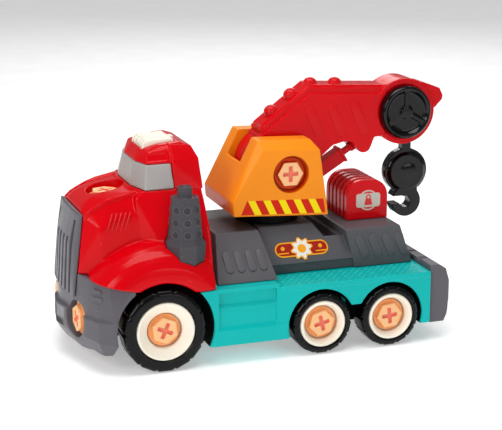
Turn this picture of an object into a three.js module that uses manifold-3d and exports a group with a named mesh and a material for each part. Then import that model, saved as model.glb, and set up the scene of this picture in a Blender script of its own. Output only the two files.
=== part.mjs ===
// A take-apart toy tow truck: teal six-wheel chassis, red cab, turning orange turret and
// a red crane boom with winch knobs, a telescoping strut and a swinging hook.
// Millimetres. +X is forward, +Y is the truck's left, +Z is up. The origin is on the ground
// below the middle of the bounding box.

import * as THREE from "three";
import { mergeVertices } from "three/addons/utils/BufferGeometryUtils.js";
import { ConvexGeometry } from "three/addons/geometries/ConvexGeometry.js";
import Module from "manifold-3d";

const wasm = await Module();
wasm.setup();

// ---------- driving dimensions ----------

const HALF_LENGTH = 166.5;
const HALF_WIDTH = 80;
const GAP = 0.35; // between two pieces that touch
const RUNNING_GAP = 0.5; // between two pieces that slide or turn
const BASE_HEIGHT = 1.6; // heights below are drawn from a plane this far above the ground

const FRONT_AXLE_X = 97.5;
const REAR_AXLES_X = [-32.7, -91.8];
const FRONT_TYRE_RADIUS = 34; // to the corners of the tread
const REAR_TYRE_RADIUS = 25.8;
const FRONT_HUB_RADIUS = 23.3;
const REAR_HUB_RADIUS = 19;
const WHEEL_WIDTH = 23;
const TREAD_FACETS = 14;
const FLAT_RATIO = Math.cos(Math.PI / TREAD_FACETS); // a tyre stands on a flat of its tread
const FRONT_AXLE_Z = FRONT_TYRE_RADIUS * FLAT_RATIO - BASE_HEIGHT;
const REAR_AXLE_Z = REAR_TYRE_RADIUS * FLAT_RATIO - BASE_HEIGHT;

const CHASSIS_BOTTOM = 14;
const CHASSIS_TOP = 57.6;
const CHASSIS_HALF_WIDTH = 78;
const CHASSIS_REAR = -127.5;
const CHASSIS_STEP = 3.5; // where the running board meets the taller front section
const CHASSIS_FRONT = 71;
const FRONT_SECTION_TOP = 60;
const CAB_BASE = FRONT_SECTION_TOP + GAP;
const HOLLOW_FRONT = 51; // front wall of the hollow below the deck
const TONGUE_FRONT = 133; // front end of the chassis tongue below the cab
const TONGUE_HALF_WIDTH = 37;
const POCKET_WALL = 51; // inner wall of the wheel pockets
const FRAME_HOLLOW = 47.5; // half width of the hollow below the deck
const REAR_ARCH_RADIUS = 28.4;
const FRONT_ARCH_RADIUS = 38;
const WEB_BOTTOM = 36.4; // chassis side between the two rear arches

const DECK_TOP = 94;
const REAR_DECK_TOP = 90.5;
const TURRET_AXIS_X = -13;
const TURRET_HALF_WIDTH = 37.5;
const TURRET_LEAN = 2.4; // degrees, rear end lower
const SLOT_HALF_WIDTH = 16.5; // slot of the turret that the boom moves in

const PIVOT = { x: -21, z: 137.4 }; // boom pivot
const BOOM_HALF_WIDTH = 14.5;
const BOOM_RIM_HALF_WIDTH = 12;
const BOOM_SPINE_HALF_WIDTH = 10; // raised spine that carries the rivets
const HEEL_RADIUS = 32; // rounded front of the boom's root
const HUB_RADIUS = 17; // boom's root below its pivot
const LUG_RADIUS = 6.5;
const DRUM = { x: -129.3, z: 177.8, radius: 27.6, halfWidth: 13.8 }; // round end of the boom
const KNOB_RADIUS = 22.2;
const STRUT_FOOT = { x: -53, z: 127.5 };
const STRUT_HEAD = { x: -93.5, z: 152 };
const HOOK_PIVOT = { x: -137, z: 158.5 };
const HOOK_BLOCK_DROP = 33; // from the hook's pivot to the middle of its block

const SCREW_SHANK_RADIUS = 4;
const SCREW_FLANGE_RADIUS = 13;
const SCREW_HEX_RADIUS = 11.5;

// ---------- materials ----------

function plastic(color, roughness) {
  return new THREE.MeshStandardMaterial({ color, roughness, metalness: 0 });
}

const RED = plastic(0xd40a18, 0.25);
const TEAL = plastic(0x0bbab6, 0.4);
const DARK_GREY = plastic(0x545458, 0.45);
const MID_GREY = plastic(0x6d6c70, 0.4);
const WINDOW_GREY = plastic(0xaca9a4, 0.3);
const ORANGE = plastic(0xff961e, 0.4);
const PEACH = plastic(0xffc48a, 0.4);
const CREAM = plastic(0xf8efdc, 0.35);
const BLACK = plastic(0x101012, 0.2);
const TYRE_BLACK = plastic(0x17161a, 0.5);

// ---------- shape helpers ----------

const group = new THREE.Group();

// A closed geometry as a manifold-3d solid.
function solid(geometry) {
  geometry.deleteAttribute("normal");
  geometry.deleteAttribute("uv");
  const merged = mergeVertices(geometry, 1e-4);
  const made = new wasm.Manifold(
    new wasm.Mesh({
      numProp: 3,
      vertProperties: merged.attributes.position.array,
      triVerts: new Uint32Array(merged.index.array),
    }),
  );
  return made;
}

// Adds a solid to the truck as a named mesh.
function piece(name, shape, material) {
  const made = shape.getMesh();
  const geometry = new THREE.BufferGeometry();
  geometry.setAttribute("position", new THREE.BufferAttribute(made.vertProperties, 3));
  geometry.setIndex(new THREE.BufferAttribute(made.triVerts, 1));
  geometry.computeVertexNormals();
  const mesh = new THREE.Mesh(geometry, material);
  mesh.name = name;
  group.add(mesh);
  return mesh;
}

function block(x0, x1, y0, y1, z0, z1) {
  const box = new THREE.BoxGeometry(x1 - x0, y1 - y0, z1 - z0);
  return solid(box.translate((x0 + x1) / 2, (y0 + y1) / 2, (z0 + z1) / 2));
}

// A cylinder along Y, from y0 to y1.
function disc(radius, y0, y1, x, z, sides = 24) {
  const cylinder = new THREE.CylinderGeometry(radius, radius, y1 - y0, sides);
  return solid(cylinder.translate(x, (y0 + y1) / 2, z));
}

// A cylinder or cone along Z, from z0 to z1.
function post(bottomRadius, topRadius, z0, z1, x, y, sides = 24) {
  const cylinder = new THREE.CylinderGeometry(topRadius, bottomRadius, z1 - z0, sides);
  return solid(cylinder.rotateX(Math.PI / 2).translate(x, y, (z0 + z1) / 2));
}

// A side outline, [x, z] points, extruded along Y from y0 to y1.
function plate(outline, y0, y1) {
  const shape = outline instanceof THREE.Shape
    ? outline
    : new THREE.Shape(outline.map(([x, z]) => new THREE.Vector2(x, z)));
  const made = new THREE.ExtrudeGeometry(shape, {
    depth: y1 - y0,
    bevelEnabled: false,
    curveSegments: 5,
  });
  return solid(made.rotateX(Math.PI / 2).translate(0, y1, 0));
}

// The convex solid round [x, y, z] points.
function hull(points) {
  return solid(new ConvexGeometry(points.map((p) => new THREE.Vector3(...p))));
}

// The convex solid round points given on the left side and mirrored to the right.
function mirroredHull(points) {
  return hull([...points, ...points.map(([x, y, z]) => [x, -y, z])]);
}

// A solid turned about an axis along Y through (x, z), from [radius, y] points. A profile that
// starts on the axis ends on it too, and any other profile is closed into a ring.
function turned(profile, x, z, segments, firstAngle = 0) {
  const points = profile.map(([radius, y]) => new THREE.Vector2(radius, y));
  if (THREE.ShapeUtils.area(points) < 0) points.reverse();
  if (points[0].x > 0) points.push(points[0].clone());
  const made = new THREE.LatheGeometry(points, segments, firstAngle);
  return solid(made.translate(x, 0, z));
}

// A shape leant about the boom pivot, front end up.
function leant(shape, degrees) {
  const mesh = shape.getMesh();
  const geometry = new THREE.BufferGeometry();
  geometry.setAttribute("position", new THREE.BufferAttribute(mesh.vertProperties, 3));
  geometry.setIndex(new THREE.BufferAttribute(mesh.triVerts, 1));
  geometry.translate(-PIVOT.x, 0, -PIVOT.z);
  geometry.rotateY(THREE.MathUtils.degToRad(-degrees));
  geometry.translate(PIVOT.x, 0, PIVOT.z);
  return solid(geometry);
}

function joined(shapes) {
  return shapes.reduce((all, next) => all.add(next));
}

// ---------- screws ----------

// A fat plastic screw pointing inwards: round flange, hexagonal head with a cross recess,
// and a shank. It is made with its seat at the origin and its head along +Z.
function screw(shankLength) {
  const flange = post(SCREW_FLANGE_RADIUS, SCREW_FLANGE_RADIUS, 0, 2.6, 0, 0, 12);
  const head = post(SCREW_HEX_RADIUS, SCREW_HEX_RADIUS - 0.8, 2, 6.4, 0, 0, 6);
  const shank = post(SCREW_SHANK_RADIUS, SCREW_SHANK_RADIUS, -shankLength, 1, 0, 0, 8);
  const slotLong = 5.6;
  const slotShort = 1.5;
  const recess = block(-slotLong, slotLong, -slotShort, slotShort, 4.6, 7).add(
    block(-slotShort, slotShort, -slotLong, slotLong, 4.6, 7),
  );
  return joined([flange, head, shank]).subtract(recess);
}

// Places a screw with its seat at a point and its head along a direction.
function placedScrew(name, shankLength, seat, direction) {
  const mesh = piece(name, screw(shankLength), PEACH);
  const axis = new THREE.Vector3(...direction).normalize();
  mesh.quaternion.setFromUnitVectors(new THREE.Vector3(0, 0, 1), axis);
  mesh.position.set(...seat);
  return mesh;
}

// ---------- wheels ----------

const HUB_FLOOR = 9.5; // depth of the screw cup below the hub's outer rim
const HUB_SIDES = 16;

function hubProfile(radius) {
  return [
    [radius, 0],
    [radius, -WHEEL_WIDTH + 1],
    [radius - 3, -WHEEL_WIDTH + 1],
    [radius - 3, -HUB_FLOOR - 3.5],
    [9, -HUB_FLOOR - 3.5],
    [9, -WHEEL_WIDTH],
    [SCREW_SHANK_RADIUS + RUNNING_GAP, -WHEEL_WIDTH],
    [SCREW_SHANK_RADIUS + RUNNING_GAP, -HUB_FLOOR],
    [SCREW_FLANGE_RADIUS + 0.8, -HUB_FLOOR],
    [SCREW_FLANGE_RADIUS + 1.2, -5],
    [radius - 2, 0],
  ];
}

// The tread is faceted, as on a chunky toy tyre, with the sidewalls drawn in.
function tyre(radius, hubRadius) {
  const shoulder = 3;
  const body = turned(
    [
      [0, 0],
      [radius - 2.5, -0.8],
      [radius, -shoulder],
      [radius, -WHEEL_WIDTH + shoulder],
      [radius - 2.5, -WHEEL_WIDTH + 0.8],
      [0, -WHEEL_WIDTH],
    ],
    0,
    0,
    TREAD_FACETS,
    Math.PI / TREAD_FACETS,
  );
  const bore = disc(hubRadius + GAP, -WHEEL_WIDTH - 1, 1, 0, 0, HUB_SIDES);
  return body.subtract(bore);
}

function wheel(name, x, z, side, radius, hubRadius) {
  const place = (mesh) => {
    mesh.position.set(x, side * HALF_WIDTH, z);
    mesh.rotation.z = side > 0 ? 0 : Math.PI;
  };
  place(piece(name + "_tyre", tyre(radius, hubRadius), TYRE_BLACK));
  const hub = turned(hubProfile(hubRadius), 0, 0, HUB_SIDES);
  place(piece(name + "_hub", hub, CREAM));
  const seatY = side * (HALF_WIDTH - HUB_FLOOR + GAP);
  placedScrew(name + "_screw", 32, [x, seatY, z], [0, side, 0]);
}

for (const [end, side] of [["left", 1], ["right", -1]]) {
  wheel("front_" + end, FRONT_AXLE_X, FRONT_AXLE_Z, side, FRONT_TYRE_RADIUS, FRONT_HUB_RADIUS);
  wheel("middle_" + end, REAR_AXLES_X[0], REAR_AXLE_Z, side, REAR_TYRE_RADIUS, REAR_HUB_RADIUS);
  wheel("rear_" + end, REAR_AXLES_X[1], REAR_AXLE_Z, side, REAR_TYRE_RADIUS, REAR_HUB_RADIUS);
}

// ---------- chassis ----------

const AXLE_RADIUS = 7;
const AXLE_HALF_LENGTH = 55.5;
const axles = [
  ["front_axle", FRONT_AXLE_X, FRONT_AXLE_Z],
  ["middle_axle", REAR_AXLES_X[0], REAR_AXLE_Z],
  ["rear_axle", REAR_AXLES_X[1], REAR_AXLE_Z],
];

function axleBeam(x, z) {
  const beam = disc(AXLE_RADIUS, -AXLE_HALF_LENGTH, AXLE_HALF_LENGTH, x, z, 16);
  const boreRadius = SCREW_SHANK_RADIUS + GAP;
  const leftBore = disc(boreRadius, 35, AXLE_HALF_LENGTH + 1, x, z, 12);
  const rightBore = disc(boreRadius, -AXLE_HALF_LENGTH - 1, -35, x, z, 12);
  return beam.subtract(leftBore).subtract(rightBore);
}

for (const [name, x, z] of axles) {
  piece(name, axleBeam(x, z), DARK_GREY);
}

// Two recessed panels, one above the other and the upper one deeper, on each side.
function sidePanels() {
  const rows = [[29.8, 44.2, 1.7], [47.2, 57, 3]];
  const cuts = [];
  for (const [z0, z1, recess] of rows) {
    const outside = CHASSIS_HALF_WIDTH + 1;
    const inside = CHASSIS_HALF_WIDTH - recess;
    cuts.push(block(6, 54, inside, outside, z0, z1));
    cuts.push(block(6, 54, -outside, -inside, z0, z1));
  }
  return cuts;
}

function chassisFrame() {
  const wide = CHASSIS_HALF_WIDTH;
  const wall = 4;
  const body = joined([
    block(CHASSIS_REAR, CHASSIS_FRONT, -wide, wide, CHASSIS_BOTTOM, CHASSIS_TOP),
    block(CHASSIS_STEP, CHASSIS_FRONT, -wide, wide, CHASSIS_TOP - 1, FRONT_SECTION_TOP),
    block(CHASSIS_FRONT - 1, TONGUE_FRONT, -TONGUE_HALF_WIDTH, TONGUE_HALF_WIDTH, 18, 56),
  ]);
  const hollow = joined([
    block(CHASSIS_REAR + 6, HOLLOW_FRONT, -FRAME_HOLLOW, FRAME_HOLLOW, 0, CHASSIS_TOP - wall),
    block(
      HOLLOW_FRONT - 1,
      TONGUE_FRONT - wall,
      -TONGUE_HALF_WIDTH + wall,
      TONGUE_HALF_WIDTH - wall,
      0,
      50,
    ),
  ]);
  const cuts = [hollow, ...sidePanels()];
  for (const [y0, y1] of [[52, 73], [-73, -52]]) {
    cuts.push(block(CHASSIS_STEP + 3, HOLLOW_FRONT, y0, y1, 0, CHASSIS_TOP - wall));
  }
  for (const x of REAR_AXLES_X) {
    for (const side of [1, -1]) {
      const inner = side > 0 ? POCKET_WALL : -wide - 1;
      const outer = side > 0 ? wide + 1 : -POCKET_WALL;
      cuts.push(disc(REAR_ARCH_RADIUS, inner, outer, x, REAR_AXLE_Z, 24));
    }
  }
  const [archOne, archTwo] = REAR_AXLES_X;
  for (const [y0, y1] of [[POCKET_WALL, wide + 1], [-wide - 1, -POCKET_WALL]]) {
    cuts.push(block(archTwo + 25, archOne - 25, y0, y1, 0, WEB_BOTTOM));
  }
  // room for the front wheels behind the cab's rear lower corners
  for (const side of [1, -1]) {
    const inner = side > 0 ? POCKET_WALL - 7 : -wide - 1;
    const outer = side > 0 ? wide + 1 : -POCKET_WALL + 7;
    cuts.push(disc(FRONT_ARCH_RADIUS + 2, inner, outer, FRONT_AXLE_X, FRONT_AXLE_Z, 24));
  }
  for (const [, x, z] of axles) {
    cuts.push(disc(AXLE_RADIUS + GAP, -60, 60, x, z, 16));
  }
  return body.subtract(joined(cuts));
}

piece("chassis_frame", chassisFrame(), TEAL);

function underplate() {
  const plateTop = CHASSIS_BOTTOM + 2.3;
  const rear = CHASSIS_REAR + 6 + GAP;
  const front = HOLLOW_FRONT - GAP;
  const half = FRAME_HOLLOW - GAP;
  const holes = [block(-70, -50, -20, 20, 0, 30), block(-5, 15, -20, 20, 0, 30)];
  return block(rear, front, -half, half, CHASSIS_BOTTOM, plateTop).subtract(joined(holes));
}

piece("underplate", underplate(), DARK_GREY);

// ---------- rear bumper ----------

const REAR_BUMPER_END = -145;

function rearBumper() {
  const front = CHASSIS_REAR - GAP;
  const end = REAR_BUMPER_END;
  const outline = [
    [front, 13],
    [end + 4, 13],
    [end + 1, 20],
    [end, 32],
    [end, 48],
    [end + 3, 58],
    [end + 9, 62],
    [front, 62],
  ].reverse();
  const body = plate(outline, -76, 76);
  const hollow = block(front - 11, front + 1, -68, 68, 0, 56);
  return body.subtract(hollow);
}

piece("rear_bumper", rearBumper(), MID_GREY);

// ---------- deck ----------

function raisedPills(centres, faceY, z0, z1, slant) {
  const pills = [];
  for (const x of centres) {
    for (const side of [1, -1]) {
      const outline = [
        [x - 3.4, z1],
        [x + 3.4, z1],
        [x + 3.4 - slant, z0],
        [x - 3.4 - slant, z0],
      ].reverse();
      const y0 = side > 0 ? faceY - 3 : -faceY - 1.2;
      const y1 = side > 0 ? faceY + 1.2 : -faceY + 3;
      pills.push(plate(outline, y0, y1));
    }
  }
  return pills;
}

const SPIGOT_RADIUS = 11;

function deckCover() {
  const base = CHASSIS_TOP + GAP;
  const front = mirroredHull([
    [51, 67, FRONT_SECTION_TOP + GAP],
    [1, 67, FRONT_SECTION_TOP + GAP],
    [43.5, 37, DECK_TOP],
    [7, 37, DECK_TOP],
  ]);
  const middle = mirroredHull([
    [8, 48, 66],
    [-58, 48, 66],
    [4, 30, DECK_TOP],
    [-42, 30, DECK_TOP],
    [-50, 37.1, 83],
  ]);
  const ledge = mirroredHull([
    [-40, 48, 66],
    [-72, 48, 66],
    [-40, 37.1, 83],
    [-64, 37.1, 83],
    [-71, 37.5, 81],
  ]);
  const plinth = block(-122, 2, -45, 45, base, 67);
  const rear = mirroredHull([
    [-73, 48, base],
    [-124, 48, base],
    [-64, 48, REAR_DECK_TOP],
    [-112.5, 48, REAR_DECK_TOP],
  ]);
  const tail = mirroredHull([
    [-118, 40, base],
    [-127, 40, base],
    [-118, 40, 68],
    [-127, 40, 63],
  ]);
  const pills = raisedPills([-71, -81.5, -92, -102.5], 48, 66, 86, 7);
  const hollow = joined([
    mirroredHull([
      [46, 61, base - 2],
      [6, 61, base - 2],
      [39, 33, DECK_TOP - 6],
      [11, 33, DECK_TOP - 6],
    ]),
    mirroredHull([
      [12, 41, base - 2],
      [-66, 41, base - 2],
      [8, 26, DECK_TOP - 6],
      [-37, 26, DECK_TOP - 6],
      [-46, 30, 70],
      [-66, 35, 67],
    ]),
    block(-114, -70, -42, 42, base - 2, REAR_DECK_TOP - 5),
  ]);
  const spigotHole = post(
    SPIGOT_RADIUS + RUNNING_GAP,
    SPIGOT_RADIUS + RUNNING_GAP,
    DECK_TOP - 8,
    DECK_TOP + 2,
    TURRET_AXIS_X,
    0,
    20,
  );
  const ledgeRecess = block(-63, -50, -34, 34, 75, 95);
  return joined([front, middle, ledge, plinth, rear, tail, ...pills])
    .subtract(hollow)
    .subtract(ledgeRecess)
    .subtract(spigotHole);
}

piece("deck_cover", deckCover(), DARK_GREY);

// ---------- counterweight ----------

const FIN_COUNT = 6;
const FIN_PITCH = 8;

function counterweight() {
  const base = REAR_DECK_TOP + GAP;
  const outline = new THREE.Shape();
  outline.moveTo(-75.5, base);
  outline.lineTo(-75.5, 110);
  outline.absarc(-89.5, 110, 14, 0, Math.PI / 2, false);
  outline.lineTo(-98, 124);
  outline.absarc(-98, 110, 14, Math.PI / 2, Math.PI, false);
  outline.lineTo(-112, base);
  outline.lineTo(-75.5, base);
  const fins = [];
  for (let i = 0; i < FIN_COUNT; i += 1) {
    const y = (i - (FIN_COUNT - 1) / 2) * FIN_PITCH;
    fins.push(plate(outline, y - 2.6, y + 2.6));
  }
  const core = block(-108, -79.5, -21, 21, base, 119);
  return joined([core, ...fins]);
}

piece("counterweight", counterweight(), RED);

// ---------- cab ----------

const ARCH_TOP_RADIUS = 66; // fender crown where it meets the cab's side

function fender(side) {
  const profile = [
    [FRONT_ARCH_RADIUS, 40],
    [FRONT_ARCH_RADIUS, 77],
    [FRONT_ARCH_RADIUS + 2.5, 78.5],
    [50, 77],
    [58.5, 71.5],
    [64, 62],
    [ARCH_TOP_RADIUS, 48],
    [ARCH_TOP_RADIUS, 40],
  ];
  const inside = [
    [FRONT_ARCH_RADIUS + 3.5, 47],
    [FRONT_ARCH_RADIUS + 3.5, 74],
    [48, 73],
    [55.5, 68],
    [60, 60],
    [62, 49],
    [62, 47],
  ];
  const around = (outline) =>
    turned(outline.map(([r, y]) => [r, side * y]), FRONT_AXLE_X, FRONT_AXLE_Z, 32);
  const ring = around(profile).subtract(around(inside));
  const y0 = side > 0 ? 30 : -90;
  return ring.intersect(block(55.5, 158, y0, y0 + 60, CAB_BASE, 110));
}

function cabBody() {
  const hood = mirroredHull([
    [158, 34, 71],
    [152, 24, 116.5],
    [153, 31, 108],
    [149, 33, 116.5],
    [143, 33, 121.3],
    [145, 20, 124.5],
    [139, 18, 128],
    [128, 33.5, 128.5],
    [130, 18, 130.3],
    [104, 35, 133],
    [100, 0, 136.4],
    [100, 46, CAB_BASE],
    [138, 46, 72],
    [138, 43, 108],
    [100, 43, 118],
  ]);
  const lowerCab = mirroredHull([
    [110, 43, CAB_BASE],
    [110, 41.5, 130],
    [104, 41, 134.5],
    [56, 42, 134.5],
    [55, 60, 107],
    [54.5, 66, 82],
    [54.5, 70, CAB_BASE],
    [78, 66, CAB_BASE],
    [84, 54, 107],
    [90, 46, 90],
  ]);
  const upperCab = mirroredHull([
    [107, 20, 134],
    [101.3, 41, 134],
    [56, 42, 134],
    [98.3, 34, 154],
    [103.5, 16, 154],
    [96, 30, 162.5],
    [98, 10, 164],
    [57, 32, 157],
    [60, 26, 165],
    [68, 24, 167.5],
    [84, 24, 167],
  ]);
  const cowl = mirroredHull([
    [110, 22, 130],
    [104, 41, 130],
    [110, 22, 135],
    [102.5, 41.5, 135],
    [96, 30, 135],
  ]);
  return joined([hood, lowerCab, upperCab, cowl, fender(1), fender(-1)]);
}

const WELL = { x: 123.8, z: 121.8, radius: 15.1 };
const STACK = { x: 75.5, y: 60 };

// The space inside the cab and hood, open downwards.
function cabHollow() {
  return joined([
    block(60, 148, -TONGUE_HALF_WIDTH - 1, TONGUE_HALF_WIDTH + 1, 40, 64),
    mirroredHull([
      [146, 28, 60],
      [102, 34, 60],
      [144, 24, 104],
      [102, 32, 106],
    ]),
    mirroredHull([
      [102, 37, 60],
      [62, 37, 60],
      [98, 34, 128],
      [60, 34, 128],
      [92, 26, 158],
      [63, 26, 158],
    ]),
  ]);
}

function wheelPocket(side) {
  const y0 = side > 0 ? 44.5 : -90;
  return disc(FRONT_ARCH_RADIUS, y0, y0 + 45.5, FRONT_AXLE_X, FRONT_AXLE_Z, 32);
}

function windscreen(grow) {
  const outer = mirroredHull([
    [108 + grow, 20, 135 - grow],
    [102 + grow, 41.7 + grow, 135 - grow],
    [78 - grow, 42 + grow, 135 - grow],
    [104.5 + grow, 16, 153.5 + grow],
    [99 + grow, 35 + grow, 153.5 + grow],
    [79 - grow, 35.2 + grow, 153.5 + grow],
  ]);
  const inner = mirroredHull([
    [104.5 - grow, 18, 130],
    [99 - grow, 38 - grow, 130],
    [70, 38 - grow, 130],
    [101 - grow, 14, 158],
    [95 - grow, 31.5 - grow, 158],
    [70, 31.5 - grow, 158],
  ]);
  return outer.subtract(inner);
}

const ROOF_LIGHT = { x0: 71, x1: 97, half: 17, z0: 160, z1: 169 };

function roofLight(grow) {
  const { x0, x1, half, z0, z1 } = ROOF_LIGHT;
  return mirroredHull([
    [x0 - grow, half + grow, z0 - grow],
    [x1 + grow, half + grow, z0 - grow],
    [x0 + 1.5 - grow, half - 2 + grow, z1 + 1 + grow],
    [x1 - 3 + grow, half - 2 + grow, z1 + grow],
  ]);
}

function stack(grow) {
  const { x, y } = STACK;
  return [1, -1].map((side) =>
    joined([
      post(5.9 + grow, 5.9 + grow, 130, 141 + grow, x, side * y, 10),
      post(14.4 + grow, 11 + grow, 102, 133 + grow, x, side * y, 10),
      post(16.2 + grow, 14.4 + grow, 95, 102.01 + grow, x, side * y, 10),
      post(15.4 + grow, 16.2 + grow, 84, 95.01, x, side * y, 10),
      post(7 + grow, 15.4 + grow, 63 - grow, 84.01, x, side * y, 10),
    ]),
  );
}

// The cab's front face, which the grille lies against, leans back towards its top.
function cabFrontX(z) {
  return 149.5 + (117.5 - z) * 0.123;
}

function aheadOfCab() {
  const outline = [
    [cabFrontX(40), 40],
    [180, 40],
    [180, 140],
    [cabFrontX(140), 140],
  ];
  return plate(outline, -90, 90);
}

// The space taken by the bumper, below a seam that rises forwards from the wheel arch.
function belowSeam(raise) {
  const outline = [
    [112, 40],
    [180, 40],
    [180, seamHeight(180) + raise],
    [112, seamHeight(112) + raise],
  ];
  return plate(outline, -90, 90);
}

function seamHeight(x) {
  return 65.2 + (x - 121) * 0.186;
}

function cabShell() {
  const well = post(WELL.radius, WELL.radius, WELL.z, 150, WELL.x, 0, 24);
  const wellFloorHole = post(
    SCREW_SHANK_RADIUS + GAP,
    SCREW_SHANK_RADIUS + GAP,
    80,
    150,
    WELL.x,
    0,
    12,
  );
  const cuts = [
    cabHollow(),
    wheelPocket(1),
    wheelPocket(-1),
    windscreen(GAP),
    roofLight(GAP),
    ...stack(GAP),
    aheadOfCab(),
    belowSeam(GAP),
    wellFloorHole,
  ];
  return cabBody().subtract(joined(cuts)).subtract(well);
}

piece("cab_shell", cabShell(), RED);
piece("windscreen_band", windscreen(0), WINDOW_GREY);
piece("roof_light", roofLight(0), CREAM);
const [leftStack, rightStack] = stack(0);
piece("exhaust_stack_left", leftStack, MID_GREY);
piece("exhaust_stack_right", rightStack, MID_GREY);
placedScrew("hood_screw", 18, [WELL.x, 0, WELL.z + GAP], [0, 0, 1]);

// ---------- grille and front bumper ----------

const GRILLE_BOTTOM = 52.5;

// A slot cut a few millimetres into the grille's face, from its foot up to a height.
function grilleSlot(y, top) {
  const outline = [
    [158.2, 54],
    [180, 54],
    [180, top],
    [top > 100 ? 151.6 : 154.6, top],
    [155.8, 92],
  ];
  return plate(outline, y - 2, y + 2);
}

function grille() {
  const top = 118;
  const backTop = cabFrontX(top) + GAP;
  const backFoot = cabFrontX(GRILLE_BOTTOM) + GAP;
  const body = mirroredHull([
    [backTop, 33.5, top],
    [backFoot, 34.2, GRILLE_BOTTOM],
    [151.8, 33.5, top],
    [153.1, 20, top],
    [153.6, 8, top],
    [156.7, 31, 90],
    [158.9, 20, 92.6],
    [159.6, 8, 92.6],
    [159.5, 34, GRILLE_BOTTOM],
    [161.2, 20, GRILLE_BOTTOM],
    [162.4, 6, GRILLE_BOTTOM],
  ]);
  const cuts = [];
  for (const side of [1, -1]) {
    cuts.push(grilleSlot(side * 5, 97));
    cuts.push(grilleSlot(side * 14.5, 97));
    cuts.push(grilleSlot(side * 24, 112));
  }
  return body.subtract(joined(cuts));
}

piece("grille", grille(), MID_GREY);

const HEADLIGHT = { x: 151, y: 34, z: 35.3 };
const HEADLIGHT_TURN = 4.5; // degrees outwards

function bumperOuter(z0, z1, shrink) {
  const bow = [
    [HALF_LENGTH, 0],
    [163.5, 16],
    [159.5, 34],
    [154.5, 52],
    [148, 68],
    [137, 78],
  ];
  const points = [];
  for (const [x, y] of bow) {
    points.push([x - shrink, Math.max(0, y - shrink), z0]);
    points.push([x - shrink, Math.max(0, y - shrink), z1]);
  }
  points.push([134 - shrink, 78 - shrink, z0]);
  points.push([134 - shrink, 78 - shrink, z1]);
  return mirroredHull(points);
}

function frontBumper() {
  const lower = bumperOuter(24, 41, 0);
  const skirt = mirroredHull([
    [HALF_LENGTH, 0, 24.1],
    [159.5, 34, 24.1],
    [148, 68, 24.1],
    [137, 78, 24.1],
    [134, 78, 24.1],
    [163, 0, 18],
    [158, 34, 18],
    [145, 67, 18],
    [136, 75, 20],
    [158, 0, 11],
    [153, 34, 11],
    [142, 62, 11],
    [136, 66, 12],
  ]);
  const upper = mirroredHull([
    [162.5, 0, 40.9],
    [158, 34, 40.9],
    [152.5, 52, 40.9],
    [146, 66, 40.9],
    [137, 76, 40.9],
    [118, 76, 40.9],
    [160.5, 12, 76],
    [155.8, 34, 76],
    [150, 50, 76],
    [140, 66, 76],
    [118, 76, 76],
  ]);
  const hollow = mirroredHull([
    [154, 24, 0],
    [148, 52, 0],
    [134, 70, 0],
    [120, 70, 0],
    [110, 40, 0],
    [153, 20, 80],
    [146, 48, 80],
    [120, 50, 80],
    [110, 40, 80],
  ]);
  const topLine = block(90, 180, -90, 90, 40, 90).subtract(belowSeam(0));
  const grilleRoom = block(90, 180, -34.6, 34.6, GRILLE_BOTTOM - GAP, 90);
  const cuts = [hollow, topLine, grilleRoom, wheelPocket(1), wheelPocket(-1)];
  cuts.push(block(90, TONGUE_FRONT + GAP, -TONGUE_HALF_WIDTH - 1, TONGUE_HALF_WIDTH + 1, 0, 90));
  cuts.push(block(90, 120, -90, 90, 0, 90));
  for (const side of [1, -1]) {
    const turn = THREE.MathUtils.degToRad(side * HEADLIGHT_TURN);
    const lamp = new THREE.CylinderGeometry(15.5, 15.5, 20, 24).rotateZ(-Math.PI / 2);
    lamp.rotateZ(turn).translate(
      HEADLIGHT.x + 10 * Math.cos(turn),
      side * HEADLIGHT.y + 10 * Math.sin(turn),
      HEADLIGHT.z,
    );
    cuts.push(solid(lamp));
    const hole = new THREE.CylinderGeometry(4.4, 4.4, 60, 12).rotateZ(-Math.PI / 2);
    hole.rotateZ(turn).translate(HEADLIGHT.x, side * HEADLIGHT.y, HEADLIGHT.z);
    cuts.push(solid(hole));
  }
  return joined([lower, skirt, upper]).subtract(joined(cuts));
}

piece("front_bumper", frontBumper(), MID_GREY);

for (const [end, side] of [["left", 1], ["right", -1]]) {
  const turn = THREE.MathUtils.degToRad(HEADLIGHT_TURN);
  const direction = [Math.cos(turn), side * Math.sin(turn), 0];
  const seat = [
    HEADLIGHT.x + GAP * direction[0],
    side * HEADLIGHT.y + GAP * direction[1],
    HEADLIGHT.z,
  ];
  placedScrew("bumper_screw_" + end, 12, seat, direction);
}

// ---------- turret ----------

const RECESS_RADIUS = 15.3;
const RECESS_FLOOR = 29;

function turretHousing() {
  const half = TURRET_HALF_WIDTH;
  const body = mirroredHull([
    [29.1, 33, 116.3],
    [27.4, half, 115.5],
    [26.4, half, 104.4],
    [22, 30, 103.2],
    [-54.8, half, 103],
    [-44.6, half, 157.2],
    [3.7, half, 157.8],
    [-38, 31, 165],
    [7.1, 31, 165],
  ]);
  const slot = plate(
    [
      [60, 144.1],
      [14, 144.1],
      [14, 118],
      [-80, 118],
      [-80, 190],
      [60, 190],
    ].reverse(),
    -SLOT_HALF_WIDTH,
    SLOT_HALF_WIDTH,
  );
  const { x, z } = PIVOT;
  const cuts = [
    slot,
    disc(RECESS_RADIUS, RECESS_FLOOR, 50, x, z, 24),
    disc(RECESS_RADIUS, -50, -RECESS_FLOOR, x, z, 24),
    disc(SCREW_SHANK_RADIUS + GAP, -50, 50, x, z, 12),
    block(-47, 18, -31, 31, 90, 113.5),
  ];
  return leant(body.subtract(joined(cuts)), TURRET_LEAN);
}

piece("turret_housing", turretHousing(), ORANGE);

for (const [end, side] of [["left", 1], ["right", -1]]) {
  const seat = [PIVOT.x, side * (RECESS_FLOOR + GAP), PIVOT.z];
  placedScrew("boom_pivot_screw_" + end, RECESS_FLOOR - 4, seat, [0, side, 0]);
}

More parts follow.
